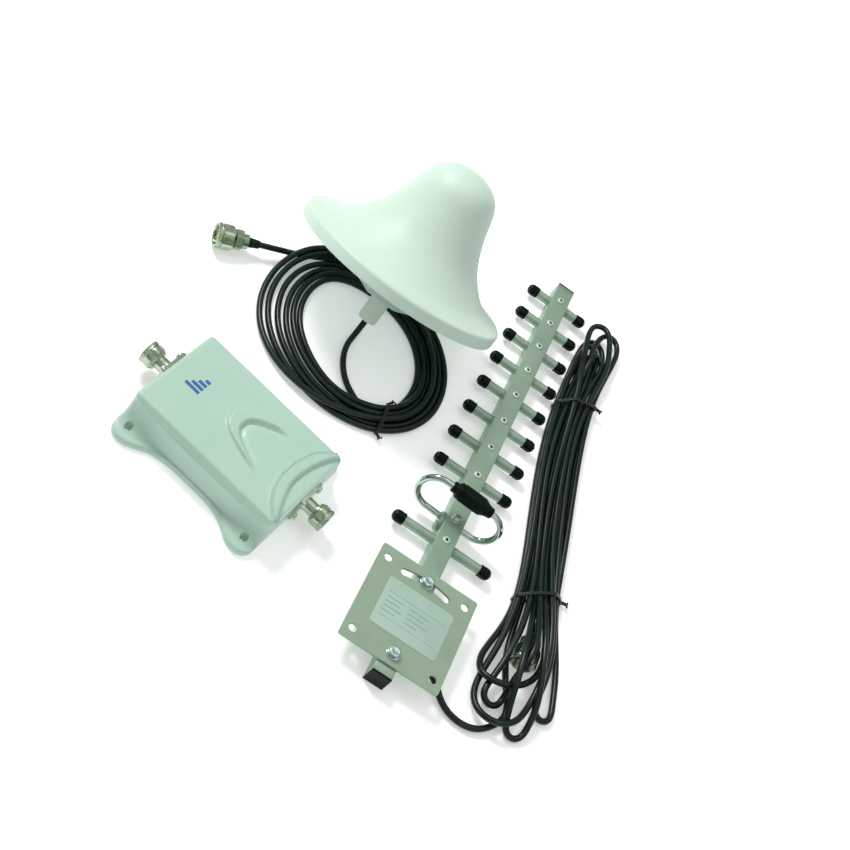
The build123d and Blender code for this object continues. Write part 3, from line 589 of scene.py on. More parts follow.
def spline2d(points, n=12):
    # Catmull-Rom through the points
    P = [np.array(points[0]) * 2 - np.array(points[1])] + [np.array(p, float) for p in points] + [np.array(points[-1]) * 2 - np.array(points[-2])]
    out = []
    for a, b, c, d in zip(P, P[1:], P[2:], P[3:]):
        for k in range(n):
            t = k / n
            out.append(0.5 * ((2 * b) + (c - a) * t + (2 * a - 5 * b + 4 * c - d) * t * t + (3 * b - a - 3 * c + d) * t ** 3))
    out.append(P[-2])
    return np.array(out)


def dist_to(line, X):
    best = np.full(len(X), 1e9)
    for a, b in zip(line, line[1:]):
        ab = b - a
        t = np.clip(((X - a) @ ab) / max(1e-9, ab @ ab), 0, 1)
        best = np.minimum(best, np.linalg.norm(X - (a + t[:, None] * ab), axis=1))
    return best


def inside(poly, X):
    c = np.zeros(len(X), bool)
    for (x0, y0), (x1, y1) in zip(poly, np.roll(poly, -1, axis=0)):
        hit = ((y0 > X[:, 1]) != (y1 > X[:, 1])) & (X[:, 0] < (x1 - x0) * (X[:, 1] - y0) / (y1 - y0 + 1e-12) + x0)
        c ^= hit
    return c


ARCH_OUT = spline2d([(34, -23.6), (20, -20.2), (6.7, -16.0), (-3.5, -12.0), (-10.0, -7.0), (-13.0, -0.5), (-12.6, 5.0), (-9.0, 11.0), (-2.0, 15.6), (6.5, 19.2),
                     (17.0, 22.0), (34, 24.6)])
ARCH_IN = spline2d([(34, -23.2), (22.5, -16.6), (12.0, -11.6), (4.6, -7.6), (0.6, -2.6), (0.0, 2.0), (1.2, 7.0), (5.6, 11.6), (13.5, 16.4), (23.0, 20.6), (34, 24.2)])
MOON_OUT = spline2d([(63.5, -46.0), (61.1, -39.9), (51.5, -30.5), (45.3, -20.1), (42.2, -7.0), (42.1, 5.4), (44.2, 18.0), (48.1, 29.6), (60.1, 43.3), (63, 47)])
MOON_IN = spline2d([(67.5, -46.0), (65.3, -38.5), (58.6, -24.0), (53.6, -9.0), (52.9, 3.0), (55.0, 18.0), (59.0, 31.0), (63.0, 39.6), (67, 46)])


def relief(X):
    # raised arch, and a moon-shaped step before the indoor port's end
    do, di = dist_to(ARCH_OUT, X), dist_to(ARCH_IN, X)
    band = inside(np.vstack([ARCH_OUT, ARCH_IN[::-1]]), X)
    heart = inside(np.vstack([ARCH_IN, [[34, 24.2], [34, -23.2]]]), X)
    fade = 1 - smooth(14, 33, X[:, 0])
    z = np.where(band, 2.2 * smooth(-0.1, 1.3, do) * smooth(-0.1, 2.6, di) * (0.25 + 0.75 * fade), 0.0)
    z -= np.where(heart, 1.5 * fade * np.exp(-(di / 3.2) ** 2) * smooth(0, 1.0, di), 0)
    mo, mi = dist_to(MOON_OUT, X), dist_to(MOON_IN, X)
    moon = inside(np.vstack([MOON_OUT, MOON_IN[::-1]]), X)
    past = inside(np.vstack([MOON_IN, [[80, 46], [80, -46]]]), X)
    rim = np.exp(-((mo - 0.95) / 0.75) ** 2)
    z += np.where(moon, 1.3 * smooth(-0.1, 1.0, mo) * smooth(-0.3, 2.0, mi) + 0.9 * rim * smooth(0, 2.0, mi), 0)
    z -= np.where(past, 1.6 * smooth(0, 1.6, mi), 0)
    return z


def amp_cover():
    nx, ny = 132, 84
    gx = np.linspace(-62.0, 62.0, nx + 1)
    gy = np.linspace(-38.0, 38.0, ny + 1)
    V = []
    idx = {}
    for i, x in enumerate(gx):
        for j, y in enumerate(gy):
            idx[i, j] = len(V)
            V.append([x, y, 32.0])
    F = [(idx[i, j], idx[i + 1, j], idx[i + 1, j + 1], idx[i, j + 1]) for i in range(nx) for j in range(ny)]
    # the grid's border, anticlockwise from the near left corner
    border = [(i, 0) for i in range(nx)] + [(nx, j) for j in range(ny)] + [(i, ny) for i in range(nx, 0, -1)] + [(0, j) for j in range(ny, 0, -1)]
    N = len(border)

    def outline(kind):
        # the matching point of an outline for each border point
        if kind == "top":
            L, W, r = 66.0, 42.0, 4.0
        elif kind == "cavity0":
            L, W, r = 64.0, 40.0, 4.0
        elif kind == "cavity1":
            L, W, r = 60.0, 36.0, 3.0
        else:
            L, W, r = 66.0, 60.5, 10.5
        out = []
        for k, (i, j) in enumerate(border):
            x, y = gx[i], gy[j]
            near_far = (j == 0 and i < nx) or (j == ny and i > 0)
            if near_far:
                s = x / 62.0
                sy = -1 if j == 0 else 1
                xs = s * (L - r * (1 - math.sqrt(0.5)))
                e = abs(xs) - (L - r)
                yy = W - r + math.sqrt(max(0.0, r * r - max(0.0, e) ** 2))
                if kind == "base":
                    ax = abs(xs)
                    w = [(0.0, 46.5), (8.0, 46.5), (15.0, 46.65), (22.0, 47.3), (28.0, 48.6), (34.0, 50.7), (39.0, 53.6), (44.0, 57.1), (48.5, 59.5), (52.5, 60.4), (55.5, 60.5)]
                    if ax < 55.5:
                        yy = float(np.interp(ax, [q[0] for q in w], [q[1] for q in w]))
                out.append((xs, sy * yy))
            else:
                s = y / 38.0
                sx = 1 if i == nx else -1
                ys = s * (W - r * (1 - math.sqrt(0.5)))
                e = abs(ys) - (W - r)
                xx = L - r + math.sqrt(max(0.0, r * r - max(0.0, e) ** 2))
                out.append((sx * xx, ys))
        return np.array(out)

    top, base = outline("top"), outline("base")
    # smooth the waist line
    for _ in range(10):
        m = np.abs(base[:, 0]) < 54
        sm = (np.roll(base, 1, 0) + np.roll(base, -1, 0) + 2 * base) / 4
        base[m] = sm[m]
    grid_b = np.array([[gx[i], gy[j]] for i, j in border])
    side = np.array([1.0 if (j in (0, ny)) and 0 < i < nx else 0.0 for i, j in border])
    s = grid_b[:, 0] / 62.0
    leaf = np.where(side > 0, np.clip(1 - s * s, 0, 1) ** 0.75, 0.0)
    out_dir = top - grid_b * np.array([62.0 / 66, 38.0 / 42])
    out_dir = (top - grid_b)
    n_dir = out_dir / np.maximum(1e-9, np.linalg.norm(out_dir, axis=1))[:, None]
    rings = []
    # round over the top edge
    for k in range(1, 7):
        a = math.radians(15 * k)
        p = grid_b + (top - grid_b) * (0.35 + 0.65 * math.sin(a) * 0.9 if k else 0)
        z = 32.0 - 2.6 * (1 - math.cos(a)) * 0.9
        rings.append((p, np.full(N, z)))
    # the leaf-shaped facet under the long edges, then the hollow side down to the ears
    zl = 29.4 - 0.4
    lf = top + n_dir * 0.0
    for k in range(1, 5):
        t = k / 4
        z = zl - leaf * 4.6 * t
        p = lf + np.stack([np.zeros(N), np.sign(top[:, 1]) * leaf * (2.3 * t)], 1) * (side > 0)[:, None]
        rings.append((p, z))
    start_p, start_z = rings[-1]
    start_p = start_p - np.stack([np.zeros(N), np.sign(top[:, 1]) * leaf * 0.55], 1) * (side > 0)[:, None]
    start_z = start_z - 0.7 * leaf
    rings.append((start_p, start_z))
    D = base - start_p
    dl = np.linalg.norm(D, axis=1)
    rim = np.clip(dl * 0.42, 0.35, 2.6)
    rim_dir = D / np.maximum(dl, 1e-6)[:, None]
    end_p = base - rim_dir * rim[:, None]
    zrim = 4.1 + 0.0 * dl
    steps = 22
    for k in range(1, steps + 1):
        t = k / steps
        a = t * math.pi / 2
        f = (1 - math.cos(a)) ** 1.12
        g = math.sin(a) ** 0.92
        p = start_p + (end_p - start_p) * f
        z = start_z + (zrim + 1.6 - start_z) * g
        rings.append((p, z))
    for k in range(1, 6):
        a = math.radians(18 * k)
        rings.append((end_p + rim_dir * (rim * math.sin(a))[:, None], zrim + 1.6 - 2.2 * (1 - math.cos(a))))
    rings.append((base, np.full(N, 2.0)))
    rings.append((base, np.full(N, 0.7)))
    rings.append((base - rim_dir * 0.5, np.full(N, 0.15)))
    rings.append((base - rim_dir * 0.9, np.full(N, 0.0)))
    c0, c1 = outline("cavity0"), outline("cavity1")
    rings.append((c0, np.full(N, 0.0)))
    rings.append((c0, np.full(N, 2.8)))
    rings.append((c1, np.full(N, 2.8)))
    rings.append((c1, np.full(N, 27.4)))
    prev = [idx[b] for b in border]
    for p, z in rings:
        k = len(V)
        V += [[p[q, 0], p[q, 1], z[q]] for q in range(N)]
        cur = list(range(k, k + N))
        for q in range(N):
            w = (q + 1) % N
            F.append((prev[q], cur[q], cur[w], prev[w]))
        prev = cur
    F.append(tuple(prev))
    V = np.array(V)
    # crown and relief on the top
    up = V[:, 2] > 29.8
    X = V[up][:, :2]
    z = V[up][:, 2]
    wgt = smooth(29.6, 31.6, z)
    crown = 0.35 * (1 - (X[:, 1] / 42) ** 2)
    V[up, 2] = z + (relief(X) + crown - 0.35) * wgt - 0.9 * 0
    o = mesh("amp_cover_shell", [tuple(v) for v in V], [tuple(reversed(f)) if False else f for f in F], "white_paint", "amplifier", sharp=50, replaces=["amp_cover"])
    # holes: ears, jack, lamp, ports
    cutters = []
    for sx in (-1, 1):
        for sy in (-1, 1):
            m = Matrix.Translation((sx * 55.5, sy * 50.0, 0))
            cutters.append(moved(lathe([(0, -1.5), (2.5, -1.5), (2.5, 5.2), (2.9, 6.2), (3.1, 7.2), (3.2, 14.0), (0, 14.0)], 40), m))
    for x, y, zz, r in ((-66, 21.8, 12.5, 4.08), (-66, 21.8, 23.5, 1.58), (-66, PORT_Y, PORT_Z, 5.2), (66, PORT_Y, PORT_Z, 5.2)):
        m = Matrix.Translation((x, y, zz)) @ Matrix.Rotation(math.radians(90), 4, "Y")
        cutters.append(moved(lathe([(0, -9), (r, -9), (r, 9), (0, 9)], 32), m))
    cv, cf = join(cutters)
    me = bpy.data.meshes.new("cutters")
    me.from_pydata([Vector(v) * MM for v in cv], [], cf)
    co = bpy.data.objects.new("cutters", me)
    bpy.context.scene.collection.objects.link(co)
    for obj in (o, co):
        for poly in obj.data.polygons:
            pass
    b = o.modifiers.new("holes", "BOOLEAN")
    b.object = co
    b.operation = "DIFFERENCE"
    b.solver = "EXACT"
    bpy.context.view_layer.update()
    dg = bpy.context.evaluated_depsgraph_get()
    done = bpy.data.meshes.new_from_object(o.evaluated_get(dg))
    o.modifiers.clear()
    old = o.data
    o.data = done
    bpy.data.meshes.remove(old)
    bpy.data.objects.remove(co)
    for p in o.data.polygons:
        p.use_smooth = True
    o.data.set_sharp_from_angle(angle=math.radians(42))
    return o


cover = amp_cover()


# ------------------------------------------------------------------ generic printed mark: four rising bars
def mark():
    V, F = [], []
    def slab(x0, x1, y0, y1, z0, z1, r=0.5):
        pts = []
        for cx, cy, a0 in ((x1 - r, y1 - r, 0), (x0 + r, y1 - r, 90), (x0 + r, y0 + r, 180), (x1 - r, y0 + r, 270)):
            for k in range(5):
                a = math.radians(a0 + 22.5 * k)
                pts.append((cx + r * math.cos(a), cy + r * math.sin(a)))
        k = len(V)
        n = len(pts)
        V.extend([(x, y, z0) for x, y in pts] + [(x, y, z1) for x, y in pts])
        F.append(tuple(range(k + n - 1, k - 1, -1)))
        F.append(tuple(range(k + n, k + 2 * n)))
        for q in range(n):
            w = (q + 1) % n
            F.append((k + q, k + w, k + n + w, k + n + q))
    # bars stand across the box's length, feet towards the near edge
    for i, hgt in enumerate((4.0, 7.0, 10.0, 13.0)):
        y0 = 8.0 - i * 4.2
        x0 = -38.0
        slab(x0 - hgt, x0, y0 - 2.6, y0, 31.6, 32.26)
    return mesh("amp_mark", V, F, "print_blue", "amplifier", smooth=False)


mark()


# ------------------------------------------------------------------ coaxial couplings
def nut_mesh(L=NUT_L, R=NUT_R, AF=NUT_AF):
    # hexagon with rounded corners, knurled front ring, chamfered back, threaded bore
    ap = AF / 2

    def shape(r, h, a):
        if r > THREAD_R + 0.6:
            if h < -3.8:
                w = (a + math.pi / 6) % (math.pi / 3) - math.pi / 6
                hexr = ap / math.cos(w)
                return min(r, hexr) - (0.05 if hexr > R else 0)
            return r - (0.22 * (0.5 + 0.5 * math.cos(a * 60)) if -2.7 < h < -0.5 and r > R - 0.4 else 0)
        return r
    o = R - 0.02
    g = max(THREAD_R + 0.75, o - 0.95)
    prof = [(TUBE_R + 0.06, -L), (7.2, -L), (7.7, -L + 0.15), (o - 0.85, -L + 1.6), (o - 0.4, -L + 2.1), (o - 0.05, -L + 2.6), (o, -L + 3.2), (o, -6.0), (o, -4.4), (o - 0.18, -4.05),
            (g + 0.2, -3.82), (g, -3.7), (g, -3.35), (g + 0.2, -3.1), (o - 0.18, -2.95), (o - 0.04, -2.7), (o, -2.5), (o, -1.6), (o, -0.7), (o - 0.08, -0.45), (o - 0.35, -0.12), (o - 0.6, 0.0),
            (THREAD_R + 0.6, 0.0), (THREAD_R + 0.45, -0.1), (THREAD_R + 0.25, -0.5)]
    h = -0.9
    while h > -8.2:
        prof += [(THREAD_R + 0.02, h), (THREAD_R + 0.42, h - 0.35)]
        h -= 0.7
    prof += [(THREAD_R + 0.02, -8.5), (THREAD_R + 0.02, -8.98), (TUBE_R + 0.3, -9.0), (TUBE_R + 0.06, -9.1)]
    return closed_lathe(prof, 144, shape)


def coupling(name, m, body, node_name, *size):
    V, F = nut_mesh(*size)
    F = [tuple(reversed(f)) for f in F]
    return mesh(name, V, F, "nickel", body, sharp=32, matrix=m, replaces=[node_name])


def pan_screw(r, h, slot_w=0.0, cross=True, flange=0.0, seg=32):
    # a domed head with a recess; height from 0 to h
    prof = []
    if flange:
        prof += [(flange, 0), (flange, 0.28), (flange - 0.25, 0.5), (r, 0.52)]
        z0 = 0.52
    else:
        prof += [(r, 0)]
        z0 = 0.0
    prof += [(r, z0 + (h - z0) * 0.35), (r * 0.93, z0 + (h - z0) * 0.68), (r * 0.76, z0 + (h - z0) * 0.9), (r * 0.5, h), (r * 0.40, h - 0.03), (r * 0.33, h - 0.5), (r * 0.24, h - 0.75), (0, h - 0.8)]

    def shape(q, z, a):
        if cross and q <= r * 0.41:
            return q * (0.62 + 0.75 * abs(math.cos(2 * a)) ** 6)
        return q
    V, F = lathe([(0, 0)] + prof, seg, shape)
    return V, F


for label, sx, nut_body in (("outdoor", -1, "outdoor_nut"), ("indoor", 1, "indoor_nut")):
    m = frame_on((sx * 88.5, PORT_Y, PORT_Z), (sx, 0, 0), (0, 1, 0))
    coupling(label + "_coupling", m, nut_body, label + "_port_nut", 11.5, 9.2, 17.6)
    V, F = join([moved(pan_screw(2.8, 2.2), Matrix.Translation((a, b, -20.1))) for a in (-9.13, 9.13) for b in (-9.13, 9.13)])
    mesh(label + "_flange_screws", V, F, "steel_screw", "amplifier", sharp=40, matrix=m, replaces=[label + "_port_screws"])
    soften(label + "_port_body", 0.35)

dome_face = Vector((-132.7, 133.7, NUT_R))
pd = Vector((-0.7514, -0.6601, 0)).normalized()
dome_m = frame_on(dome_face, pd)
coupling("dome_coupling", dome_m, "dome_nut", "dome_plug_nut")
yagi_face = YAGI @ Vector((92.0, 75.0, NUT_R))
yd = (YAGI.to_3x3() @ Vector((0, -1, 0))).normalized()
yagi_m = frame_on(yagi_face, yd)
coupling("yagi_coupling", yagi_m, "yagi_nut", "yagi_plug_nut")
BOOT = [(2.7, -36.0), (3.1, -36.0), (3.35, -35.6), (3.5, -33.5), (3.7, -31.5), (3.95, -29.5), (4.1, -27.6), (4.4, -26.9), (4.4, -26.0), (2.7, -26.0)]
for label, m, body in (("dome", dome_m, "dome_antenna"), ("yagi", yagi_m, "yagi_antenna")):
    V, F = closed_lathe(BOOT, 36)
    F = [tuple(reversed(f)) for f in F]
    boot = mesh(label + "_boot", V, F, "black_rubber", body, sharp=50, matrix=m, replaces=[label + "_plug_boot"])
    soften(label + "_plug_body", 0.3)

# ------------------------------------------------------------------ dome antenna
DOME = frame_on(DOME_C, DOME_A, DOME_A.cross(Vector((0, 0, 1))))


def dome_shell():
    # bell curve; the rim rolls over and turns in
    out = [(90.9, 0.0), (91.4, 0.25), (91.6, 0.9), (91.6, 2.4), (91.6, 5.0), (91.6, 8.0), (91.45, 8.9), (91.0, 9.9), (90.2, 10.6), (89.2, 11.0), (88.0, 11.3), (85.6, 11.9), (80.0, 13.4), (76.0, 14.8), (72.0, 16.6), (68.2, 19.1), (64.5, 22.0),
           (60.7, 25.4), (57.0, 29.0), (53.4, 33.0), (50.0, 37.2), (47.0, 41.7), (44.3, 46.4), (42.0, 51.2), (39.9, 56.0), (38.1, 60.8), (36.5, 65.5), (35.1, 70.0), (33.9, 74.4), (32.8, 78.6),
           (31.5, 82.6), (29.8, 86.4), (27.6, 90.0), (24.8, 93.2), (21.4, 96.0), (17.4, 98.3), (12.9, 100.0), (8.0, 101.2), (3.5, 101.7), (0, 101.8)]
    pts = spline2d(out, 4)
    pts[:, 0] = np.maximum(pts[:, 0], 0)
    prof = [(float(r), float(h)) for r, h in pts]
    prof[-1] = (0.0, prof[-1][1])
    inner = []
    for k in range(len(pts) - 1, -1, -3):
        a = pts[max(0, k - 1)]
        b = pts[min(len(pts) - 1, k + 1)]
        t = (b - a) / max(1e-9, np.linalg.norm(b - a))
        nrm = np.array([-t[1], t[0]])
        q = pts[k] + nrm * 2.0 * (1 if nrm[0] < 0 or nrm[1] < 0 else -1)
        if q[0] > 0.5 and q[1] > 0.4:
            inner.append((float(q[0]), float(q[1])))
    inner = [(0.0, 99.8)] + inner + [(89.6, 1.0), (89.6, 0.25), (90.0, 0.0), (float(pts[0][0]), 0.0)]
    V, F = lathe(prof + inner, 160)
    return V, F


lens = lathe([(0, -4), (1.5, -4), (1.5, -2), (1.5, 0)] + [(1.5 * math.cos(math.radians(a)), 1.5 * math.sin(math.radians(a))) for a in (15, 30, 45, 60, 75)] + [(0, 1.5)], 32)
mesh("power_lens", lens[0], lens[1], "lamp", "amplifier", sharp=60, matrix=frame_on((-66.0, 21.8, 23.5), (-1, 0, 0), (0, 1, 0)), replaces=["amp_power_lamp"])

V, F = dome_shell()
mesh("dome_shell", V, F, "dome_plastic", "dome_antenna", sharp=50, matrix=DOME, replaces=["dome_radome"], weld=True)


def hex_hub():
    # six-sided boss with softened corners and a rounded lower edge; the stub stands out of it
    def ring(c, z):
        pts = []
        for k in range(6):
            a0, a1 = math.radians(60 * k), math.radians(60 * (k + 1))
            A, B = Vector((math.cos(a0), math.sin(a0))) * c, Vector((math.cos(a1), math.sin(a1))) * c
            for t in (0.035, 0.07, 0.25, 0.5, 0.75, 0.93, 0.965):
                p = A + (B - A) * t
                q = p if 0.05 < t < 0.95 else p * 0.9965
                pts.append((q.x, q.y, z))
        return pts
    rings = [ring(6.9, -20.6), ring(9.5, -20.4), ring(10.5, -20.0), ring(24.8, -20.0), ring(25.5, -19.8), ring(25.9, -19.3), ring(26.0, -18.6), ring(26.0, -9.0), ring(26.0, 0.4), ring(6.9, 0.4)]
    V = [p for r in rings for p in r]
    n, m = 42, len(rings)
    F = []
    for i in range(m):
        for k in range(n):
            F.append((i * n + k, i * n + (k + 1) % n, ((i + 1) % m) * n + (k + 1) % n, ((i + 1) % m) * n + k))
    return V, F


V, F = hex_hub()
mesh("dome_hub_body", V, F, "hub_plastic", "dome_antenna", sharp=35, matrix=DOME, replaces=["dome_hub"])
stub_prof = rounded_profile([(2.75, -30.0), (5.0, -30.0), (5.0, -20.3), (8.7, -20.3), (8.2, -22.5), (8.15, -34.0), (8.1, -43.0), (7.5, -44.0), (4.2, -44.0), (2.75, -43.4)], 0.6)
V, F = closed_lathe(stub_prof, 64)
mesh("dome_stub_body", V, F, "stub_plastic", "dome_antenna", sharp=40, matrix=DOME, replaces=["dome_stub"])
V, F = join([moved(moved(pan_screw(2.8, 1.8), Matrix.Rotation(math.pi, 4, "X")), Matrix.Translation((60 * math.cos(math.radians(45 + 90 * k)), 60 * math.sin(math.radians(45 + 90 * k)), 0.6)))
             for k in range(4)])
mesh("dome_base_fixings", V, F, "steel_screw", "dome_antenna", sharp=40, matrix=DOME, replaces=["dome_base_screws"])

# ------------------------------------------------------------------ directional antenna


def boom_mesh():
    # square tube with softened corners, closed by its end plugs
    def ring(hw, r, y):
        pts = []
        for cx, cz, a0 in ((hw - r, hw - r, 0), (-hw + r, hw - r, 90), (-hw + r, -hw + r, 180), (hw - r, -hw + r, 270)):
            for k in range(5):
                a = math.radians(a0 + 22.5 * k)
                pts.append((cx + r * math.cos(a), y, 8 + cz + r * math.sin(a)))
        return pts
    rings = [ring(8.0, 0.7, y) for y in [0.15] + [8.0 * k for k in range(1, 55)] + [439.85]]
    rings = [ring(7.85, 0.6, 0.0)] + rings + [ring(7.85, 0.6, 440.0), ring(6.8, 0.3, 440.0), ring(6.8, 0.3, 0.0)]
    V = [p for r in rings for p in r]
    n, m = 20, len(rings)
    F = []
    for i in range(m):
        for k in range(n):
            a, b = i * n + k, i * n + (k + 1) % n
            c, d = ((i + 1) % m) * n + (k + 1) % n, ((i + 1) % m) * n + k
            F.append((a, b, c, d))
    return V, F


V, F = boom_mesh()
mesh("boom_tube", V, F, "bare_aluminium", "yagi_antenna", sharp=50, matrix=YAGI, replaces=["yagi_boom"])
soften("yagi_end_plugs", 0.35)
soften("yagi_mount_plate", 0.3)
soften("yagi_clamp_nuts", 0.25)


def caps():
    # dipped vinyl caps: a rolled lip, faintly faceted body and a domed end
    prof = [(0, 1.5), (3.95, 1.5), (3.95, 0.0), (4.5, -0.15), (4.95, 0.1), (5.0, 0.6), (4.75, 1.2), (4.78, 2.2), (4.92, 4.0), (4.95, 5.2), (4.82, 6.4), (4.45, 7.6), (3.8, 8.6), (2.9, 9.35), (1.8, 9.85), (0.8, 10.02), (0, 10.05)]

    def shape(r, h, a):
        return r * (1 - 0.012 * math.cos(8 * a)) if h > 1.3 and r > 2 else r
    parts = []
    for y, n in zip(EL_Y, EL_LEN):
        for s in (-1, 1):
            m = Matrix.Translation((s * (n / 2 - 10.0), y, 8.0)) @ Matrix.Rotation(math.radians(90 * s), 4, "Y") @ Matrix.Rotation(y * 1.7 + s, 4, "Z")
            parts.append(moved(lathe(prof, 40, shape), m))
    return join(parts)


V, F = caps()
mesh("element_end_caps", V, F, "cap_rubber", "yagi_antenna", sharp=60, matrix=YAGI, replaces=["yagi_element_caps"])
rivet = lathe([(0, 0), (3.3, 0), (3.3, 0.3), (3.15, 0.62), (2.7, 0.98), (2.1, 1.2), (1.6, 1.26), (1.32, 1.2), (1.15, 0.95), (1.05, 0.2), (0.9, -0.6), (0, -0.6)], 40)
# faces inside each fixing's recess take the dark painted-shade material; the outer ring keeps the zinc colour
rivet_mats = [1 if max(math.hypot(rivet[0][i][0], rivet[0][i][1]) for i in f) < 1.25 and max(rivet[0][i][2] for i in f) < 1.21 and not all(rivet[0][i][2] == 0 for i in f) else 0 for f in rivet[1]]
V, F = join([moved(rivet, Matrix.Translation((0, y, 16.0))) for y in EL_Y])
mesh("element_fixings", V, F, "zinc_ring", "yagi_antenna", sharp=50, matrix=YAGI, replaces=["yagi_element_screws"],
     materials=["zinc_ring", "recess_painted_shade"], face_mats=rivet_mats * len(EL_Y))


def slotted(r, h, z, at):
    # a cheese head with a straight slot
    V, F = lathe(rounded_profile([(0, 0), (r + 0.6, 0), (r + 0.6, 0.7), (r, 0.8), (r, h * 0.8), (r * 0.8, h), (0, h)], 0.35), 48)
    V = [(x, y, q - (0.9 if abs(y) < 0.45 and q > h * 0.7 else 0)) for x, y, q in V]
    return moved((V, F), Matrix.Translation((at[0], at[1], z)) @ Matrix.Rotation(0.5, 4, "Z"))


V, F = slotted(3.6, 3.3, 16.0, (0, DIP_Y))
v2, f2 = moved(pan_screw(2.2, 2.0), Matrix.Translation((-11.2, DIP_Y - 7.6, 11.2)) @ Matrix.Rotation(math.radians(-90), 4, "Y"))
V, F = join([(V, F), (v2, f2)])
mesh("dipole_fixings", V, F, "steel_screw", "yagi_antenna", sharp=35, matrix=YAGI, replaces=["yagi_dipole_screws"])


def feed():
    # moulded block with stepped, tapered sleeves; a flat saddle where it meets the boom
    prof = [(2.65, -16.0), (3.9, -16.0), (4.3, -15.7), (4.4, -15.0), (4.4, -12.6), (4.7, -12.2), (5.6, -11.4), (6.4, -10.8), (6.6, -10.0), (6.6, -9.2), (6.25, -8.9), (6.25, -8.4), (6.75, -8.1), (6.95, -7.0),
            (7.0, -4.0), (7.0, 8.0), (6.95, 10.4), (6.7, 11.8), (6.2, 12.6), (5.9, 12.8), (5.9, 13.6), (5.3, 13.9), (5.2, 15.4), (4.9, 15.7), (4.75, 17.2), (4.5, 17.5), (4.4, 19.6), (4.1, 20.2), (3.7, 20.5), (2.65, 20.5)]

    def shape(r, h, a):
        # a squarish section in the middle
        k = smooth(3.5, 6.8, np.array([r]))[0]
        c, s = abs(math.cos(a)), abs(math.sin(a))
        sq = (c ** 4 + s ** 4) ** (-0.25)
        return r * (1 + (sq - 1) * 0.45 * k) * (1 - 0.06 * k)
    V, F = closed_lathe(prof, 56, shape)
    m = DIP @ Matrix.Translation((0, 0, 2 * DIP_HH)) @ Matrix.Rotation(math.radians(90), 4, "Y")
    return moved((V, F), m)


V, F = feed()
F = [tuple(reversed(f)) for f in F]
mesh("feed_moulding", V, F, "black_plastic", "yagi_antenna", sharp=38, replaces=["yagi_feed_block"])
soften("yagi_dipole_boss", 0.4)


def plate_label():
    r, pts = 2.6, []
    for cx, cy, a0 in ((29 - r, 71 - r, 0), (-26 + r, 71 - r, 90), (-26 + r, 29 + r, 180), (29 - r, 29 + r, 270)):
        for k in range(7):
            a = math.radians(a0 + 15 * k)
            pts.append((cx + r * math.cos(a), cy + r * math.sin(a)))
    n = len(pts)
    V = [(x, y, 18.0) for x, y in pts] + [(x, y, 18.24) for x, y in pts] + [(x * 0.995 + 0.0075, 50 + (y - 50) * 0.995, 18.3) for x, y in pts]
    F = [tuple(range(n - 1, -1, -1)), tuple(range(2 * n, 3 * n))]
    for ring in (0, n):
        for q in range(n):
            w = (q + 1) % n
            F.append((ring + q, ring + w, ring + n + w, ring + n + q))
    return V, F


V, F = plate_label()
mesh("plate_sticker", V, F, "label_film", "yagi_plate", sharp=40, matrix=YAGI, replaces=["yagi_plate_label"])


def rulings():
    # plain printed rules and blocks, no lettering
    V, F = [], []
    def bar(x0, x1, y0, y1):
        k = len(V)
        V.extend([(x0, y0, 18.28), (x1, y0, 18.28), (x1, y1, 18.28), (x0, y1, 18.28), (x0, y0, 18.34), (x1, y0, 18.34), (x1, y1, 18.34), (x0, y1, 18.34)])
        F.extend([(k + 3, k + 2, k + 1, k), (k + 4, k + 5, k + 6, k + 7), (k, k + 1, k + 5, k + 4), (k + 1, k + 2, k + 6, k + 5), (k + 2, k + 3, k + 7, k + 6), (k + 3, k, k + 4, k + 7)])
    bar(-22, 25, 59.2, 59.7)
    for y, w0, w1 in ((54.6, -22, -8), (54.6, -3, 14), (50.6, -22, -10), (50.6, -3, 10), (46.6, -22, -7), (46.6, -3, 16), (42.6, -22, -11), (42.6, -3, 8)):
        bar(w0, w1, y, y + 0.9)
    bar(-22, 25, 38.2, 38.6)
    return V, F


V, F = rulings()
mesh("sticker_rules", V, F, "print_grey", "yagi_plate", smooth=False, matrix=YAGI)


def hex_bolt(y):
    # hexagon head, chamfered, with a washer face and the bolt's end in the boom
    def shape(r, h, a):
        if r > 3.2:
            w = (a + math.pi / 6) % (math.pi / 3) - math.pi / 6
            return min(r, 4.0 / math.cos(w))
        return r
    prof = [(0, 6.5), (2.1, 6.5), (2.45, 7.0), (2.45, 19.0), (3.9, 19.0), (4.0, 19.15), (4.62, 19.3), (4.62, 21.5), (4.3, 22.1), (3.6, 22.38), (2.8, 22.4), (2.5, 22.25), (0, 22.2)]
    return moved(lathe(prof, 72, shape), Matrix.Translation((0, y, 0)) @ Matrix.Rotation(0.3 + y * 0.01, 4, "Z"))


def washer(y, r, z0, z1):
    return moved(closed_lathe(rounded_profile([(2.6, z0), (r, z0), (r, z1), (2.6, z1), (2.6, z0 + 0.01)], 0.25)[:-1], 48), Matrix.Translation((0, y, 0)))


V, F = join([hex_bolt(17.0), hex_bolt(82.5)])
mesh("clamp_bolt_pair", V, F, "zinc_bolt", "yagi_antenna", sharp=28, matrix=YAGI, replaces=["yagi_clamp_bolts"])
V, F = join([washer(17.0, 5.4, 18.0, 18.55), washer(17.0, 4.6, 18.55, 19.0), washer(82.5, 5.4, 18.0, 18.55), washer(82.5, 4.6, 18.55, 19.0)])
mesh("clamp_washer_stack", V, F, "zinc_bolt", "yagi_antenna", sharp=35, matrix=YAGI, replaces=["yagi_clamp_washers"])
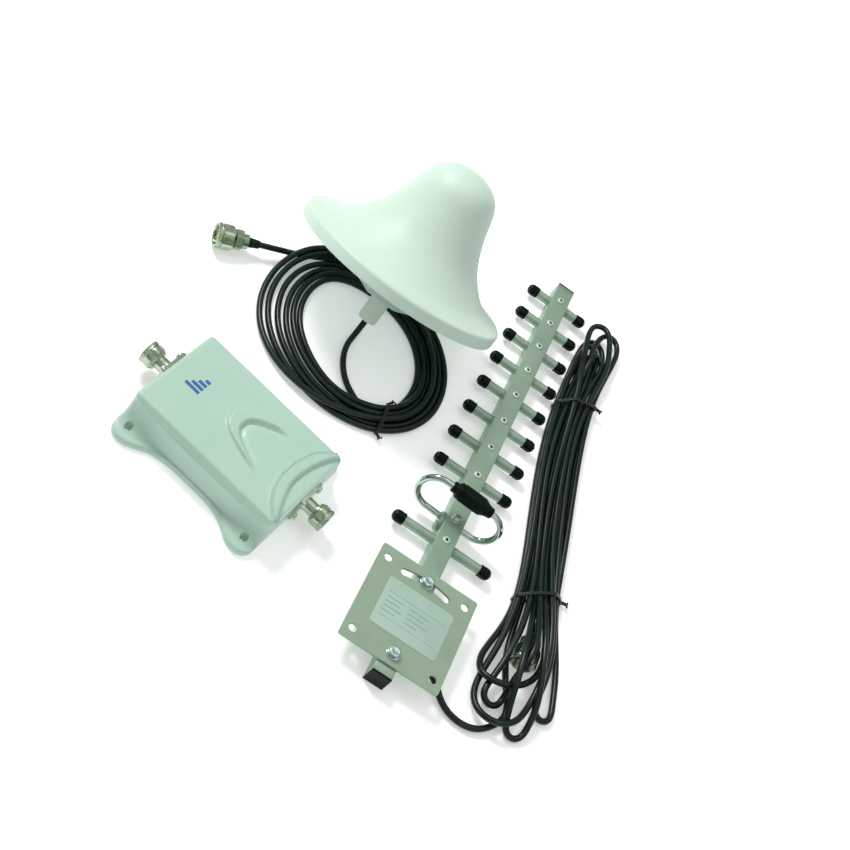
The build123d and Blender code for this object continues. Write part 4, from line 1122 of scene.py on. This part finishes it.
# grommet and a short tapered sleeve where the cable leaves the boom
grom = rounded_profile([(2.6, 6.6), (4.4, 6.6), (4.4, 8.0), (5.6, 8.0), (5.6, 9.2), (4.4, 9.5), (3.6, 11.5), (3.1, 15.5), (2.95, 16.0), (2.6, 16.0)], 0.35)
V, F = closed_lathe(grom, 40)
gm = YAGI @ Matrix.Translation((0, 36.0, 8.0)) @ Matrix.Rotation(math.radians(90), 4, "Y")
mesh("cable_gland", V, F, "black_rubber", "yagi_antenna", sharp=50, matrix=gm, replaces=["yagi_cable_grommet"])

# ------------------------------------------------------------------ ties
tie_n = Vector((0.937, 0.35, 0))
loop, u, cs = tie_loop(dome_line, (63.5, 110.5, 7.2), tie_n, 19.0)
parts = [tube(loop, 0.75, 8, closed=True), tube([p + tie_n * 1.35 for p in loop], 0.75, 8, closed=True)]
hi = max(loop, key=lambda p: p.dot(u))
lo = min(loop, key=lambda p: p.dot(u))
parts += twist(hi + Vector((0, 0, 0.6)), -u * -1.0 + tie_n * 0.9 + Vector((0, 0, 0.15)), 7, 0.7, 1.6)
parts += twist(lo + Vector((0, 0, 0.6)), u * -1.0 + tie_n * 1.2 + Vector((0, 0, 0.1)), 6, 0.7, 1.4)
V, F = join(parts)
mesh("coil_wrap", V, F, "tie_wrap", "dome_antenna", sharp=60, replaces=["dome_coil_tie"])


def local(p):
    return YAGI @ Vector(p)


parts = []
for a, b, knot_dir in (((72, 129, 5), (100, 146, 5), (1.0, 0.1, 0.1)), ((31, 319, 5), (64, 339, 5), (1.0, -0.2, 0.1))):
    A, B = local(a), local(b)
    along = (B - A).normalized()
    n = along.cross(Vector((0, 0, 1))).normalized()
    mid = (A + B) / 2
    loop, u, cs = tie_loop(yagi_line, mid, n, 27.0)
    parts += [tube(loop, 0.85, 8, closed=True), tube([p + n * 1.2 for p in loop], 0.85, 8, closed=True)]
    right = YAGI.to_3x3() @ Vector((1, 0, 0))
    end = max(loop, key=lambda p: p.dot(right))
    parts += twist(end + Vector((0, 0, 0.5)), YAGI.to_3x3() @ Vector(knot_dir), 6, 0.8, 1.4)
V, F = join(parts)
mesh("hank_wraps", V, F, "tie_wrap", "yagi_antenna", sharp=60, replaces=["yagi_hank_ties"])
